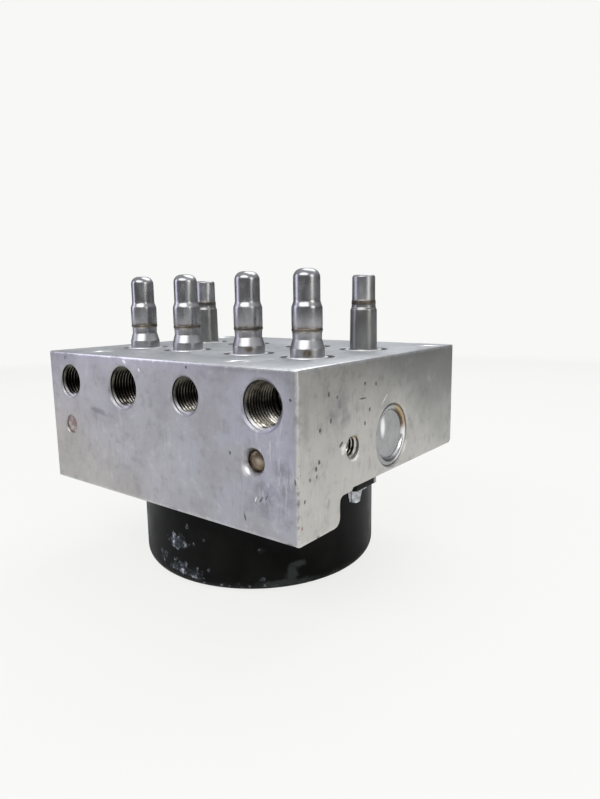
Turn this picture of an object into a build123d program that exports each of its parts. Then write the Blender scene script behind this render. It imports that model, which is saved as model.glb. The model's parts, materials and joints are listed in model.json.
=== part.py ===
from build123d import *
import math
import os

# Hydraulic unit of an anti-lock brake system, without its electronic controller.
# An aluminium valve block carries eight solenoid valves on top, a two-piston pump
# and two low-pressure accumulators inside, and the pump's motor underneath.
#
# All sizes in mm. Origin: centre of the motor can's base, on the motor's axis.
# +X along the row of line ports, +Y from that port face to the back, +Z up.

# ---------------------------------------------------------------- block
BLOCK_WIDTH = 100.0
BLOCK_DEPTH = 82.7
THIN_HEIGHT = 33.2           # top face to the unmilled underside
PORT_END_HEIGHT = 40.8       # top face to the underside of the thick port end
PORT_END_DEPTH = 16.6        # how far back the thick end reaches
AXIS_FROM_FRONT = 43.0       # motor axis behind the port face
SEAT_MILLING = 0.8           # milled off the underside for the motor
SEAT_RUN_OUT = 0.7           # length of the slope at the milled seat's edge
STEP_OUTER_ROUND = 2.3
STEP_INNER_ROUND = 1.8
EDGE_BREAK = 0.5
MOTOR_RELIEF_GAP = 1.0       # relief in the underside, outside the can and its ears
OVERCUT = 1.0                # how far a cut runs out past the face it starts from

# ---------------------------------------------------------------- fits
SEAT_FIT = 0.02              # radial, for pressed and caulked pieces
RUNNING_FIT = 0.05           # radial, for pins, pistons and journals
MOVING_GAP = 0.3             # between moving and fixed pieces that never touch
STOP_GAP = 0.05              # left at a stop at the end of a travel

# ---------------------------------------------------------------- line ports
PORT_COUNT = 4
PORT_FROM_SIDE = 10.7        # outermost port's axis to the side face
PORT_BELOW_TOP = 8.9
SMALL_PORT_RADIUS = 4.46     # core of M10 x 1
LARGE_PORT_RADIUS = 5.46     # core of M12 x 1
SMALL_MOUTH_RADIUS = 5.45
LARGE_MOUTH_RADIUS = 6.6
PORT_DEPTH = 13.0
PASSAGE_RADIUS = 1.5
BACK_PORT_FROM_SIDE = 12.0
DRILL_POINT = 59.0           # half angle of a drill's point, degrees

# ---------------------------------------------------------------- block screws
MOUNT_RADIUS = 2.5           # core of M6
MOUNT_MOUTH_RADIUS = 3.2
MOUNT_DEPTH = 10.0
MOUNT_FROM_FRONT = 22.55
MOUNT_BELOW_TOP = 21.9
LEFT_MOUNT_BELOW_TOP = 15.2
COVER_SCREW_RADIUS = 1.65    # core of M4, for the controller's screws
COVER_SCREW_MOUTH = 2.2
COVER_SCREW_DEPTH = 8.0
COVER_FRONT_FROM_LEFT = 18.9
COVER_FRONT_FROM_RIGHT = 24.0
COVER_FRONT_FROM_EDGE = 6.7
COVER_BACK_FROM_SIDE = 4.3
COVER_BACK_FROM_EDGE = 9.0

# ---------------------------------------------------------------- drillings closed by balls
PLUG_FROM_RIGHT = 13.4
PLUG_FROM_LEFT = 9.6
PLUG_BELOW_TOP = 22.7
PLUG_SEAT_RADIUS = 3.0
PLUG_MOUTH_RADIUS = 3.5
PLUG_RECESS = 0.9            # ball's crown below the port face

# ---------------------------------------------------------------- valves, heights above the top face
INNER_VALVE_X = 12.9
OUTER_VALVE_FROM_SIDE = 16.1
INLET_ROW_FROM_FRONT = 25.2
VALVE_DEPTH = 12.0           # cartridge below the top face
VALVE_RADIUS = 4.5
VALVE_NOSE_RADIUS = 3.2
VALVE_NOSE_LENGTH = 3.5
CAULK_RADIUS = 7.25          # round recess left by the caulking tool
CAULK_DEPTH = 0.6
CAULK_LIP = 1.1              # width of the lip squeezed against the collar
ROD_BORE_RADIUS = 1.0
SPRING_POCKET_RADIUS = 1.9
INLET_SPRING_TURNS = 4
OUTLET_SPRING_TURNS = 3
VALVE_STROKE = 0.4
TUBE_WALL = 0.5

COLLAR_RADIUS = 4.65
COLLAR_HEIGHT = 2.5
NECK_RADIUS = 3.9
NECK_START = 4.5
DOME_WELD_START = 6.0
DOME_WELD_END = 7.4
WELD_BEAD = 0.15             # how far a weld stands proud of its tube
DOME_LOWER_RADIUS = 4.12
DOME_SHOULDER_START = 13.2
DOME_SHOULDER_END = 15.2
DOME_UPPER_RADIUS = 3.57
DOME_CROWN_ROUND = 2.4
DOME_TOP = 23.0

SLEEVE_BASE_RADIUS = 4.1
SLEEVE_TOP_RADIUS = 3.95
SLEEVE_SHOULDER_START = 11.8
SLEEVE_SHOULDER_END = 13.0
SLEEVE_NECK_RADIUS = 3.62
CAP_WELD_START = 13.7
CAP_WELD_END = 15.0
CAP_LOWER_RADIUS = 3.55
CAP_UPPER_RADIUS = 3.4
CAP_EDGE_ROUND = 1.0
CAP_TOP = 22.0
OUTLET_BORE_RADIUS = 3.1
OUTLET_POLE_FACE = 8.0
OUTLET_POCKET_TOP = 12.0
OUTLET_BORE_FLOOR = -3.0

# ---------------------------------------------------------------- pump
PUMP_BELOW_TOP = 22.5
ECCENTRICITY = 1.1
CRANK_CHAMBER_RADIUS = 14.0
CRANK_CHAMBER_HEIGHT = 18.0  # above the motor seat
ECCENTRIC_RADIUS = 6.0
ECCENTRIC_LENGTH = 11.0
RING_RADIUS = 11.0
RING_LENGTH = 8.0
PISTON_RADIUS = 4.0
PISTON_LENGTH = 15.0
SLEEVE_RADIUS = 7.0
SLEEVE_WALL_END = 5.0        # thickness of the sleeve's delivery end
SLEEVE_CHAMBER = 7.0         # room for the spring behind the piston
PUMP_SPRING_TURNS = 3
CAP_RADIUS = 8.9
CAP_LENGTH = 5.0
CAP_RECESS = 0.5             # cap's ring below the side face
CAP_MOUTH_CHAMFER = 0.4      # round the mouth of a bore that a cap closes
CAP_DISH_RADIUS = 6.0
CAP_DISH_DEPTH = 0.7

# ---------------------------------------------------------------- accumulators
ACCUMULATOR_X = 17.0
ACCUMULATOR_BELOW_TOP = 19.9
ACCUMULATOR_RADIUS = 9.5
CRANK_TO_ACCUMULATOR = 2.0   # metal left behind the crank chamber
ACCUMULATOR_TO_VALVE = 1.1   # metal left behind the outlet valves
ACCUMULATOR_CAP_RADIUS = 10.8
ACCUMULATOR_CAP_LENGTH = 3.0
ACCUMULATOR_PISTON_LENGTH = 7.0
ACCUMULATOR_WALL = 1.8
ACCUMULATOR_WIRE = 1.26
ACCUMULATOR_SPRING_TURNS = 5
ACCUMULATOR_DISH = 1.2
SEAL_SECTION = 1.6

# ---------------------------------------------------------------- motor
MOTOR_LENGTH = 34.0          # base to the face against the block
CAN_RADIUS = 37.3
CAN_WALL = 2.0
CAN_BASE_ROUND = 4.3
BASE_RIM_WIDTH = 5.0         # flat ring that the motor stands on
BASE_GROOVE = 2.0            # ring groove drawn into the base
BASE_WALL = 1.6
BOSS_RADIUS = 10.0
EAR_FROM_SIDE = 4.0          # screw to the block's side face
EAR_OFFSET = 13.7            # right screw in front of the motor's axis, left one behind it
EAR_RADIUS = 6.3
EAR_THICKNESS = 1.6
EAR_NECK_ROUND = 3.0
SCREW_RADIUS = 1.45
SCREW_DEPTH = 9.0
SCREW_FLANGE_RADIUS = 3.5
SCREW_FLANGE_THICKNESS = 0.6
SCREW_CONE_HEIGHT = 0.9
SCREW_HEAD_RADIUS = 1.95
SCREW_HEAD_HEIGHT = 3.4
SCREW_SOCKET_RADIUS = 1.1
SCREW_SOCKET_DEPTH = 1.6

SHAFT_RADIUS = 4.0
REAR_JOURNAL_RADIUS = 2.5
REAR_BUSH_RADIUS = 6.0
REAR_BUSH_LENGTH = 5.0
END_JOURNAL_RADIUS = 3.0
END_BUSH_RADIUS = 5.0
END_BUSH_LENGTH = 4.0
FRONT_BEARING_RADIUS = 11.0
FRONT_BEARING_WIDTH = 7.0
BEARING_RACE = 1.6           # wall of each ring of the front bearing
END_PLATE_THICKNESS = 2.5
SPIGOT_HEIGHT = 3.0
MAGNET_THICKNESS = 6.5
MAGNET_LENGTH = 18.0
MAGNET_COUNT = 4
MAGNET_ARC = 66.0
MAGNET_BOTTOM = 7.0
AIR_GAP = 0.6
CORE_LENGTH = 13.0
CORE_BOTTOM = 9.5
SLOT_COUNT = 9
SLOT_WIDTH = 4.0
SLOT_DEPTH = 10.0
END_TURN_LENGTH = 2.4
COMMUTATOR_RADIUS = 8.5
COMMUTATOR_LENGTH = 3.4
BRUSH_PLATE_THICKNESS = 1.6
BRUSH_WIDTH = 4.0
BRUSH_HEIGHT = 2.6
BRUSH_LENGTH = 9.0
LEAD_POST_RADIUS = 4.2
LEAD_POST_Y = 27.0
LEAD_HOLE_GAP = 0.2
TERMINAL_SPACING = 3.6
TERMINAL_WIDTH = 2.0
TERMINAL_THICKNESS = 0.8
TERMINAL_LENGTH = 6.0

# ---------------------------------------------------------------- levels and faces
seat_z = MOTOR_LENGTH
strip_z = seat_z - SEAT_MILLING
top_z = strip_z + THIN_HEIGHT
port_end_z = top_z - PORT_END_HEIGHT
front_y = -AXIS_FROM_FRONT
back_y = front_y + BLOCK_DEPTH
side_x = BLOCK_WIDTH / 2
step_y = front_y + PORT_END_DEPTH
port_z = top_z - PORT_BELOW_TOP
pump_z = top_z - PUMP_BELOW_TOP
accumulator_z = top_z - ACCUMULATOR_BELOW_TOP

ear_x = side_x - EAR_FROM_SIDE
ear_y = -EAR_OFFSET
seat_front_y = ear_y - EAR_RADIUS - MOVING_GAP

inlet_row_y = front_y + INLET_ROW_FROM_FRONT
accumulator_floor_y = CRANK_CHAMBER_RADIUS + CRANK_TO_ACCUMULATOR
outlet_row_y = accumulator_floor_y - ACCUMULATOR_TO_VALVE - VALVE_RADIUS
accumulator_depth = back_y - accumulator_floor_y

inlet_pole_top = DOME_SHOULDER_START - MOVING_GAP
outer_valve_x = side_x - OUTER_VALVE_FROM_SIDE
valve_xs = (-outer_valve_x, -INNER_VALVE_X, INNER_VALVE_X, outer_valve_x)
port_pitch = 2 * (side_x - PORT_FROM_SIDE) / (PORT_COUNT - 1)
front_port_xs = [(i - (PORT_COUNT - 1) / 2) * port_pitch for i in range(PORT_COUNT)]
back_port_xs = (BACK_PORT_FROM_SIDE - side_x, side_x - BACK_PORT_FROM_SIDE)
plug_xs = (PLUG_FROM_LEFT - side_x, side_x - PLUG_FROM_RIGHT)
plug_centre_depth = PLUG_RECESS + PLUG_SEAT_RADIUS
end_bush_top = seat_z + CRANK_CHAMBER_HEIGHT + END_BUSH_LENGTH
sides = {"left": -1, "right": 1}


# ---------------------------------------------------------------- helpers
def section(corners):
    """Half section in the XZ plane from (radius, height) or (radius, height, rounding) corners."""
    points = [(corner[0], 0, corner[1]) for corner in corners]
    face = make_face(Polyline(points, close=True))
    for corner in corners:
        if len(corner) == 3:
            place = Vector(corner[0], 0, corner[1])
            nearest = face.vertices().sort_by_distance(place)[0]
            face = fillet(nearest, corner[2])
    return face


def turned(corners):
    """A turned piece: its half section spun about Z."""
    return revolve(section(corners), Axis.Z)


def rod(radius, low, high):
    """A plain round bar on Z from one height to another."""
    return extrude(Plane.XY.offset(low) * Circle(radius), high - low)


def tube(outer, inner, low, high):
    ring = Plane.XY.offset(low) * (Circle(outer) - Circle(inner))
    return extrude(ring, high - low)


def drilled(radius, depth, mouth_radius):
    """A blind drilling down from z = 0 with a countersunk mouth and a drill's cone."""
    point = radius / math.tan(math.radians(DRILL_POINT))
    countersink = mouth_radius - radius
    return turned([
        (0, OVERCUT),
        (mouth_radius, OVERCUT),
        (mouth_radius, 0),
        (radius, -countersink),
        (radius, -depth),
        (0, -depth - point),
    ])


def coil(radius, wire, low, high, turns):
    """A helical spring on Z whose ends lie at the heights given."""
    height = high - low - wire
    path = Helix(pitch=height / turns, height=height, radius=radius)
    start = Plane(origin=path @ 0, z_dir=path % 0)
    spring = sweep(start * Rectangle(wire, wire), path, is_frenet=True)
    return Pos(0, 0, low + wire / 2) * spring


def facing(direction):
    """Turns +Z towards a face of the block."""
    return {
        "right": Rot(0, 90, 0),
        "left": Rot(0, -90, 0),
        "front": Rot(90, 0, 0),
        "back": Rot(-90, 0, 0),
        "down": Rot(180, 0, 0),
        "up": Rot(0, 0, 0),
    }[direction]


def on_face(direction, across, height):
    """A place on one of the block's upright faces, +Z looking out of it."""
    place = {
        "right": (side_x, across, height),
        "left": (-side_x, across, height),
        "front": (across, front_y, height),
        "back": (across, back_y, height),
    }[direction]
    return Pos(*place) * facing(direction)


def ear_outline(margin):
    """The can's round mouth with its two screw ears, grown by a margin."""
    mouth_radius = CAN_RADIUS + margin
    reach = math.hypot(ear_x, ear_y)
    ears = SlotCenterToCenter(2 * reach, 2 * (EAR_RADIUS + margin))
    outline = Circle(mouth_radius) + Rot(0, 0, math.degrees(math.atan2(ear_y, ear_x))) * ears
    necks = outline.vertices().filter_by(
        lambda corner: abs(math.hypot(corner.X, corner.Y) - mouth_radius) < STOP_GAP
    )
    outline = fillet(necks, EAR_NECK_ROUND)
    return outline & Rectangle(2 * (side_x + margin), 4 * CAN_RADIUS)


# ---------------------------------------------------------------- valve block
def block_body():
    """The milled blank: its side profile, drawn along the row of ports."""
    profile = [
        (front_y, top_z),
        (back_y, top_z),
        (back_y, seat_z),
        (seat_front_y, seat_z),
        (seat_front_y - SEAT_RUN_OUT, strip_z),
        (step_y, strip_z),
        (step_y, port_end_z),
        (front_y, port_end_z),
    ]
    face = make_face(Polyline([(0, y, z) for y, z in profile], close=True))
    most = (strip_z - port_end_z) / 2 - STOP_GAP
    roundings = {
        (step_y, strip_z): min(STEP_INNER_ROUND, most),
        (step_y, port_end_z): min(STEP_OUTER_ROUND, most),
    }
    for (y, z), radius in roundings.items():
        corner = face.vertices().sort_by_distance(Vector(0, y, z))[0]
        face = fillet(corner, radius)
    blank = extrude(face, side_x, both=True)
    upright = blank.edges().filter_by(Axis.Z)
    top = blank.edges().filter_by_position(Axis.Z, top_z, top_z)
    return chamfer(upright.filter_by(lambda e: e.length > SEAT_MILLING * 2) + top, EDGE_BREAK)


def port(small):
    """A threaded line port and the passage from it to its valve."""
    radius = SMALL_PORT_RADIUS if small else LARGE_PORT_RADIUS
    mouth = SMALL_MOUTH_RADIUS if small else LARGE_MOUTH_RADIUS
    return drilled(radius, PORT_DEPTH, mouth)


def passages():
    """Fluid drillings from the ports to the valves and from the front to the pump."""
    cuts = []
    for x in front_port_xs:
        start, end = front_y + PORT_DEPTH, inlet_row_y - VALVE_RADIUS / 2
        cuts.append(on_face("front", x, port_z) * rod(PASSAGE_RADIUS, front_y - end, front_y - start))
    for x in back_port_xs:
        start, end = back_y - PORT_DEPTH, outlet_row_y + VALVE_RADIUS / 2
        cuts.append(on_face("back", x, port_z) * rod(PASSAGE_RADIUS, end - back_y, start - back_y))
    cone_below_ball = PLUG_SEAT_RADIUS * math.tan(math.radians(DRILL_POINT / 2))
    for x in plug_xs:
        drilling = rod(PASSAGE_RADIUS, front_y + SLEEVE_RADIUS / 2, 0)
        seat = drilled(PLUG_SEAT_RADIUS, plug_centre_depth + cone_below_ball, PLUG_MOUTH_RADIUS)
        cuts.append(on_face("front", x, top_z - PLUG_BELOW_TOP) * (drilling + seat))
    return cuts


def cover_screw_places():
    """The four holes that the controller's screws go into, on the top face."""
    front = front_y + COVER_FRONT_FROM_EDGE
    back = back_y - COVER_BACK_FROM_EDGE
    return [
        (COVER_FRONT_FROM_LEFT - side_x, front),
        (side_x - COVER_FRONT_FROM_RIGHT, front),
        (COVER_BACK_FROM_SIDE - side_x, back),
        (side_x - COVER_BACK_FROM_SIDE, back),
    ]


def screw_places():
    return [(ear_x, ear_y), (-ear_x, -ear_y)]


def valve_bore():
    """Bore for one valve cartridge, with the recess and lip left by caulking."""
    lip_radius = COLLAR_RADIUS + CAULK_LIP
    bore = turned([
        (0, OVERCUT),
        (COLLAR_RADIUS + SEAT_FIT, OVERCUT),
        (COLLAR_RADIUS + SEAT_FIT, 0),
        (VALVE_RADIUS + SEAT_FIT, -CAULK_LIP),
        (VALVE_RADIUS + SEAT_FIT, -VALVE_DEPTH + VALVE_NOSE_LENGTH),
        (VALVE_NOSE_RADIUS + SEAT_FIT, -VALVE_DEPTH + VALVE_NOSE_LENGTH),
        (VALVE_NOSE_RADIUS + SEAT_FIT, -VALVE_DEPTH),
        (0, -VALVE_DEPTH),
    ])
    return bore + tube(CAULK_RADIUS, lip_radius, -CAULK_DEPTH, OVERCUT)


def capped_mouth(radius):
    """First corners of a bore's section: the chamfered mouth that a cap is caulked into."""
    return [
        (0, OVERCUT),
        (radius + CAP_MOUTH_CHAMFER, OVERCUT),
        (radius + CAP_MOUTH_CHAMFER, 0),
        (radius, -CAP_MOUTH_CHAMFER),
    ]


def pump_bore():
    """Stepped bore of one pump element, from its mouth in the side face inwards."""
    length = side_x
    cap_floor = -CAP_RECESS - CAP_LENGTH
    return turned([
        *capped_mouth(CAP_RADIUS + SEAT_FIT),
        (CAP_RADIUS + SEAT_FIT, cap_floor),
        (SLEEVE_RADIUS + SEAT_FIT, cap_floor),
        (SLEEVE_RADIUS + SEAT_FIT, -length),
        (0, -length),
    ])


def accumulator_bore():
    floor = -accumulator_depth
    return turned([
        *capped_mouth(ACCUMULATOR_CAP_RADIUS + SEAT_FIT),
        (ACCUMULATOR_CAP_RADIUS + SEAT_FIT, -ACCUMULATOR_CAP_LENGTH),
        (ACCUMULATOR_RADIUS, -ACCUMULATOR_CAP_LENGTH),
        (ACCUMULATOR_RADIUS, floor),
        (0, floor),
    ])


def valve_block():
    cuts = passages()
    for index, x in enumerate(front_port_xs):
        cuts.append(on_face("front", x, port_z) * port(small=index % 2 == 0))
    for x in back_port_xs:
        cuts.append(on_face("back", x, port_z) * port(small=True))

    mount = drilled(MOUNT_RADIUS, MOUNT_DEPTH, MOUNT_MOUTH_RADIUS)
    mount_y = front_y + MOUNT_FROM_FRONT
    cuts.append(on_face("right", mount_y, top_z - MOUNT_BELOW_TOP) * mount)
    cuts.append(on_face("left", mount_y, top_z - LEFT_MOUNT_BELOW_TOP) * mount)

    cover_screw = drilled(COVER_SCREW_RADIUS, COVER_SCREW_DEPTH, COVER_SCREW_MOUTH)
    cuts += [Pos(x, y, top_z) * cover_screw for x, y in cover_screw_places()]

    for x in valve_xs:
        cuts += [Pos(x, y, top_z) * valve_bore() for y in (inlet_row_y, outlet_row_y)]
    for side in sides:
        cuts.append(on_face(side, 0, pump_z) * pump_bore())
        x = sides[side] * ACCUMULATOR_X
        cuts.append(on_face("back", x, accumulator_z) * accumulator_bore())

    cuts.append(rod(CRANK_CHAMBER_RADIUS + SEAT_FIT, 0, seat_z + CRANK_CHAMBER_HEIGHT))
    cuts.append(rod(END_BUSH_RADIUS + SEAT_FIT, seat_z, end_bush_top))
    cuts.append(extrude(ear_outline(MOTOR_RELIEF_GAP), seat_z))
    lead_hole = rod(LEAD_POST_RADIUS + LEAD_HOLE_GAP, 0, top_z + OVERCUT)
    cuts.append(Pos(0, LEAD_POST_Y, 0) * lead_hole)
    for x, y in screw_places():
        screw_hole = rod(SCREW_RADIUS + SEAT_FIT, seat_z - OVERCUT, seat_z + SCREW_DEPTH)
        cuts.append(Pos(x, y, 0) * screw_hole)
    return block_body() - cuts


def ball_plugs():
    """Steel balls pressed into the mouths of the two front drillings."""
    centre = Pos(0, 0, -plug_centre_depth)
    ball = centre * Sphere(PLUG_SEAT_RADIUS - SEAT_FIT)
    return [
        on_face("front", x, top_z - PLUG_BELOW_TOP) * ball
        for x in plug_xs
    ]


# ---------------------------------------------------------------- valves
def inlet_body():
    """Caulked steel body of a normally open valve: nose, collar, neck and fixed pole."""
    pole_radius = DOME_LOWER_RADIUS - TUBE_WALL - SEAT_FIT
    solid = turned([
        (0, -VALVE_DEPTH + STOP_GAP),
        (VALVE_NOSE_RADIUS, -VALVE_DEPTH + STOP_GAP),
        (VALVE_NOSE_RADIUS, -VALVE_DEPTH + VALVE_NOSE_LENGTH),
        (VALVE_RADIUS, -VALVE_DEPTH + VALVE_NOSE_LENGTH),
        (VALVE_RADIUS, -CAULK_LIP),
        (COLLAR_RADIUS, 0),
        (COLLAR_RADIUS, COLLAR_HEIGHT),
        (NECK_RADIUS, NECK_START),
        (NECK_RADIUS, DOME_WELD_START),
        (pole_radius, DOME_WELD_START),
        (pole_radius, inlet_pole_top),
        (0, inlet_pole_top),
    ])
    rod_bore = rod(ROD_BORE_RADIUS, -VALVE_DEPTH, inlet_pole_top)
    spring_pocket = rod(SPRING_POCKET_RADIUS, COLLAR_HEIGHT, inlet_pole_top)
    return solid - rod_bore - spring_pocket


def inlet_dome():
    """Drawn tube with a domed end, welded round the body's neck."""
    inner_lower = DOME_LOWER_RADIUS - TUBE_WALL
    inner_upper = DOME_UPPER_RADIUS - TUBE_WALL
    bead = DOME_LOWER_RADIUS + WELD_BEAD
    return turned([
        (inner_lower, DOME_WELD_START),
        (bead, DOME_WELD_START, WELD_BEAD),
        (bead, DOME_WELD_END, WELD_BEAD),
        (DOME_LOWER_RADIUS, DOME_WELD_END),
        (DOME_LOWER_RADIUS, DOME_SHOULDER_START),
        (DOME_UPPER_RADIUS, DOME_SHOULDER_END),
        (DOME_UPPER_RADIUS, DOME_TOP, DOME_CROWN_ROUND),
        (0, DOME_TOP),
        (0, DOME_TOP - TUBE_WALL),
        (inner_upper, DOME_TOP - TUBE_WALL, DOME_CROWN_ROUND - TUBE_WALL),
        (inner_upper, DOME_SHOULDER_END),
        (inner_lower, DOME_SHOULDER_START),
    ])


def inlet_armature():
    """Plunger in the dome with the push rod that closes the seat when it is pulled down."""
    radius = DOME_UPPER_RADIUS - TUBE_WALL - RUNNING_FIT
    bottom = inlet_pole_top + VALVE_STROKE + STOP_GAP
    top = DOME_TOP - TUBE_WALL - MOVING_GAP
    rod_radius = ROD_BORE_RADIUS - RUNNING_FIT
    rod_end = -VALVE_DEPTH + STOP_GAP + VALVE_STROKE + STOP_GAP
    return turned([
        (0, rod_end),
        (rod_radius, rod_end),
        (rod_radius, bottom),
        (DOME_UPPER_RADIUS - TUBE_WALL * 2, bottom),
        (radius, DOME_SHOULDER_END + MOVING_GAP),
        (radius, top - DOME_CROWN_ROUND / 2),
        (radius - DOME_CROWN_ROUND / 2, top),
        (0, top),
    ])


def inlet_spring():
    """Return spring round the push rod, from the pocket's floor to the armature."""
    radius = (ROD_BORE_RADIUS + SPRING_POCKET_RADIUS) / 2
    wire = (SPRING_POCKET_RADIUS - ROD_BORE_RADIUS) / 2
    top = inlet_pole_top + VALVE_STROKE + STOP_GAP
    return coil(radius, wire, COLLAR_HEIGHT, top, INLET_SPRING_TURNS)


def outlet_body():
    """Caulked body of a normally closed valve, with the sleeve its armature slides in."""
    solid = turned([
        (0, -VALVE_DEPTH + STOP_GAP),
        (VALVE_NOSE_RADIUS, -VALVE_DEPTH + STOP_GAP),
        (VALVE_NOSE_RADIUS, -VALVE_DEPTH + VALVE_NOSE_LENGTH),
        (VALVE_RADIUS, -VALVE_DEPTH + VALVE_NOSE_LENGTH),
        (VALVE_RADIUS, -CAULK_LIP),
        (COLLAR_RADIUS, 0),
        (SLEEVE_BASE_RADIUS, 0),
        (SLEEVE_TOP_RADIUS, SLEEVE_SHOULDER_START),
        (SLEEVE_NECK_RADIUS, SLEEVE_SHOULDER_END),
        (SLEEVE_NECK_RADIUS, CAP_WELD_START),
        (0, CAP_WELD_START),
    ])
    bore = rod(OUTLET_BORE_RADIUS, OUTLET_BORE_FLOOR, CAP_WELD_START)
    seat_hole = rod(ROD_BORE_RADIUS, -VALVE_DEPTH, OUTLET_BORE_FLOOR)
    return solid - bore - seat_hole


def outlet_cap():
    """Fixed pole of a normally closed valve, welded into its sleeve."""
    spigot = OUTLET_BORE_RADIUS - SEAT_FIT
    bead = CAP_LOWER_RADIUS + WELD_BEAD * 2
    pole = turned([
        (0, OUTLET_POLE_FACE),
        (spigot, OUTLET_POLE_FACE),
        (spigot, CAP_WELD_START),
        (bead, CAP_WELD_START, WELD_BEAD),
        (bead, CAP_WELD_END, WELD_BEAD),
        (CAP_LOWER_RADIUS, CAP_WELD_END),
        (CAP_UPPER_RADIUS, CAP_TOP, CAP_EDGE_ROUND),
        (0, CAP_TOP),
    ])
    return pole - rod(SPRING_POCKET_RADIUS, OUTLET_POLE_FACE, OUTLET_POCKET_TOP)


def outlet_armature():
    """Plunger that holds a ball on the seat until the pole above lifts it."""
    radius = OUTLET_BORE_RADIUS - RUNNING_FIT
    top = OUTLET_POLE_FACE - VALVE_STROKE - STOP_GAP
    return turned([
        (0, OUTLET_BORE_FLOOR + STOP_GAP),
        (ROD_BORE_RADIUS, OUTLET_BORE_FLOOR + STOP_GAP),
        (radius, OUTLET_BORE_FLOOR + OUTLET_BORE_RADIUS),
        (radius, top),
        (0, top),
    ])


def outlet_spring():
    radius = (ROD_BORE_RADIUS + SPRING_POCKET_RADIUS) / 2
    wire = (SPRING_POCKET_RADIUS - ROD_BORE_RADIUS) / 2
    bottom = OUTLET_POLE_FACE - VALVE_STROKE - STOP_GAP
    return coil(radius, wire, bottom, OUTLET_POCKET_TOP, OUTLET_SPRING_TURNS)


# ---------------------------------------------------------------- pump, along each side's axis from the side face
sleeve_outer_end = -CAP_RECESS - CAP_LENGTH
sleeve_inner_end = CRANK_CHAMBER_RADIUS - side_x
chamber_outer_end = sleeve_outer_end - SLEEVE_WALL_END
piston_outer_end = chamber_outer_end - SLEEVE_CHAMBER
swept_radius = RING_RADIUS + ECCENTRICITY
piston_inner_end = swept_radius + MOVING_GAP - side_x


def pump_cap():
    """Plug pressed and caulked into the mouth of a pump bore, with a dished middle."""
    return turned([
        (0, -CAP_RECESS - CAP_LENGTH + SEAT_FIT),
        (CAP_RADIUS, -CAP_RECESS - CAP_LENGTH + SEAT_FIT),
        (CAP_RADIUS, -CAP_RECESS, CAP_RECESS),
        (CAP_DISH_RADIUS + CAP_RECESS, -CAP_RECESS, CAP_RECESS),
        (CAP_DISH_RADIUS, -CAP_RECESS - CAP_DISH_DEPTH),
        (0, -CAP_RECESS - CAP_DISH_DEPTH),
    ])


def pump_sleeve():
    """Cylinder of a pump element, closed at its outer end but for the delivery hole."""
    bore = PISTON_RADIUS + RUNNING_FIT
    return turned([
        (bore, sleeve_inner_end),
        (SLEEVE_RADIUS, sleeve_inner_end),
        (SLEEVE_RADIUS, sleeve_outer_end),
        (PASSAGE_RADIUS, sleeve_outer_end),
        (PASSAGE_RADIUS, chamber_outer_end),
        (bore, chamber_outer_end),
    ])


def pump_piston():
    """Piston that the eccentric pushes outwards and the spring brings back."""
    return turned([
        (0, piston_inner_end),
        (PISTON_RADIUS, piston_inner_end, MOVING_GAP),
        (PISTON_RADIUS, piston_outer_end),
        (SPRING_POCKET_RADIUS, piston_outer_end),
        (SPRING_POCKET_RADIUS, piston_outer_end - PISTON_RADIUS),
        (0, piston_outer_end - PISTON_RADIUS),
    ])


def pump_spring():
    radius = (PISTON_RADIUS + SPRING_POCKET_RADIUS) / 2
    wire = (PISTON_RADIUS - SPRING_POCKET_RADIUS) / 2
    return coil(radius, wire, piston_outer_end, chamber_outer_end, PUMP_SPRING_TURNS)


# ---------------------------------------------------------------- accumulators, along their axis from the back face
accumulator_rest = -accumulator_depth + STOP_GAP


def accumulator_cap():
    """Pressed cover that closes an accumulator bore and seats its spring."""
    return turned([
        (0, -ACCUMULATOR_CAP_LENGTH + SEAT_FIT),
        (ACCUMULATOR_CAP_RADIUS, -ACCUMULATOR_CAP_LENGTH + SEAT_FIT),
        (ACCUMULATOR_CAP_RADIUS, -CAP_RECESS, CAP_RECESS),
        (ACCUMULATOR_RADIUS - ACCUMULATOR_WALL, -CAP_RECESS),
        (ACCUMULATOR_RADIUS - ACCUMULATOR_WALL * 2, -CAP_RECESS - ACCUMULATOR_DISH),
        (0, -CAP_RECESS - ACCUMULATOR_DISH),
    ])


def seal_groove_middle():
    return accumulator_rest + ACCUMULATOR_PISTON_LENGTH / 2


def accumulator_piston():
    """Cup piston, hollow towards its spring, with a groove for its seal."""
    radius = ACCUMULATOR_RADIUS - RUNNING_FIT
    end = accumulator_rest + ACCUMULATOR_PISTON_LENGTH
    cup = turned([
        (0, accumulator_rest),
        (radius, accumulator_rest, MOVING_GAP),
        (radius, end),
        (radius - ACCUMULATOR_WALL * 2, end),
        (radius - ACCUMULATOR_WALL * 2, accumulator_rest + ACCUMULATOR_WALL),
        (0, accumulator_rest + ACCUMULATOR_WALL),
    ])
    low = seal_groove_middle() - SEAL_SECTION / 2
    high = seal_groove_middle() + SEAL_SECTION / 2
    return cup - tube(radius + OVERCUT, radius - SEAL_SECTION, low, high)


def accumulator_seal():
    """Square-section ring in the piston's groove."""
    outer = ACCUMULATOR_RADIUS - RUNNING_FIT
    low = seal_groove_middle() - SEAL_SECTION / 2 + SEAT_FIT
    high = seal_groove_middle() + SEAL_SECTION / 2 - SEAT_FIT
    return tube(outer, outer - SEAL_SECTION + SEAT_FIT, low, high)


def accumulator_spring():
    radius = ACCUMULATOR_RADIUS - ACCUMULATOR_WALL * 2 - ACCUMULATOR_WIRE
    low, high = accumulator_rest + ACCUMULATOR_WALL, -ACCUMULATOR_CAP_LENGTH
    return coil(radius, ACCUMULATOR_WIRE, low, high, ACCUMULATOR_SPRING_TURNS)


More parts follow.
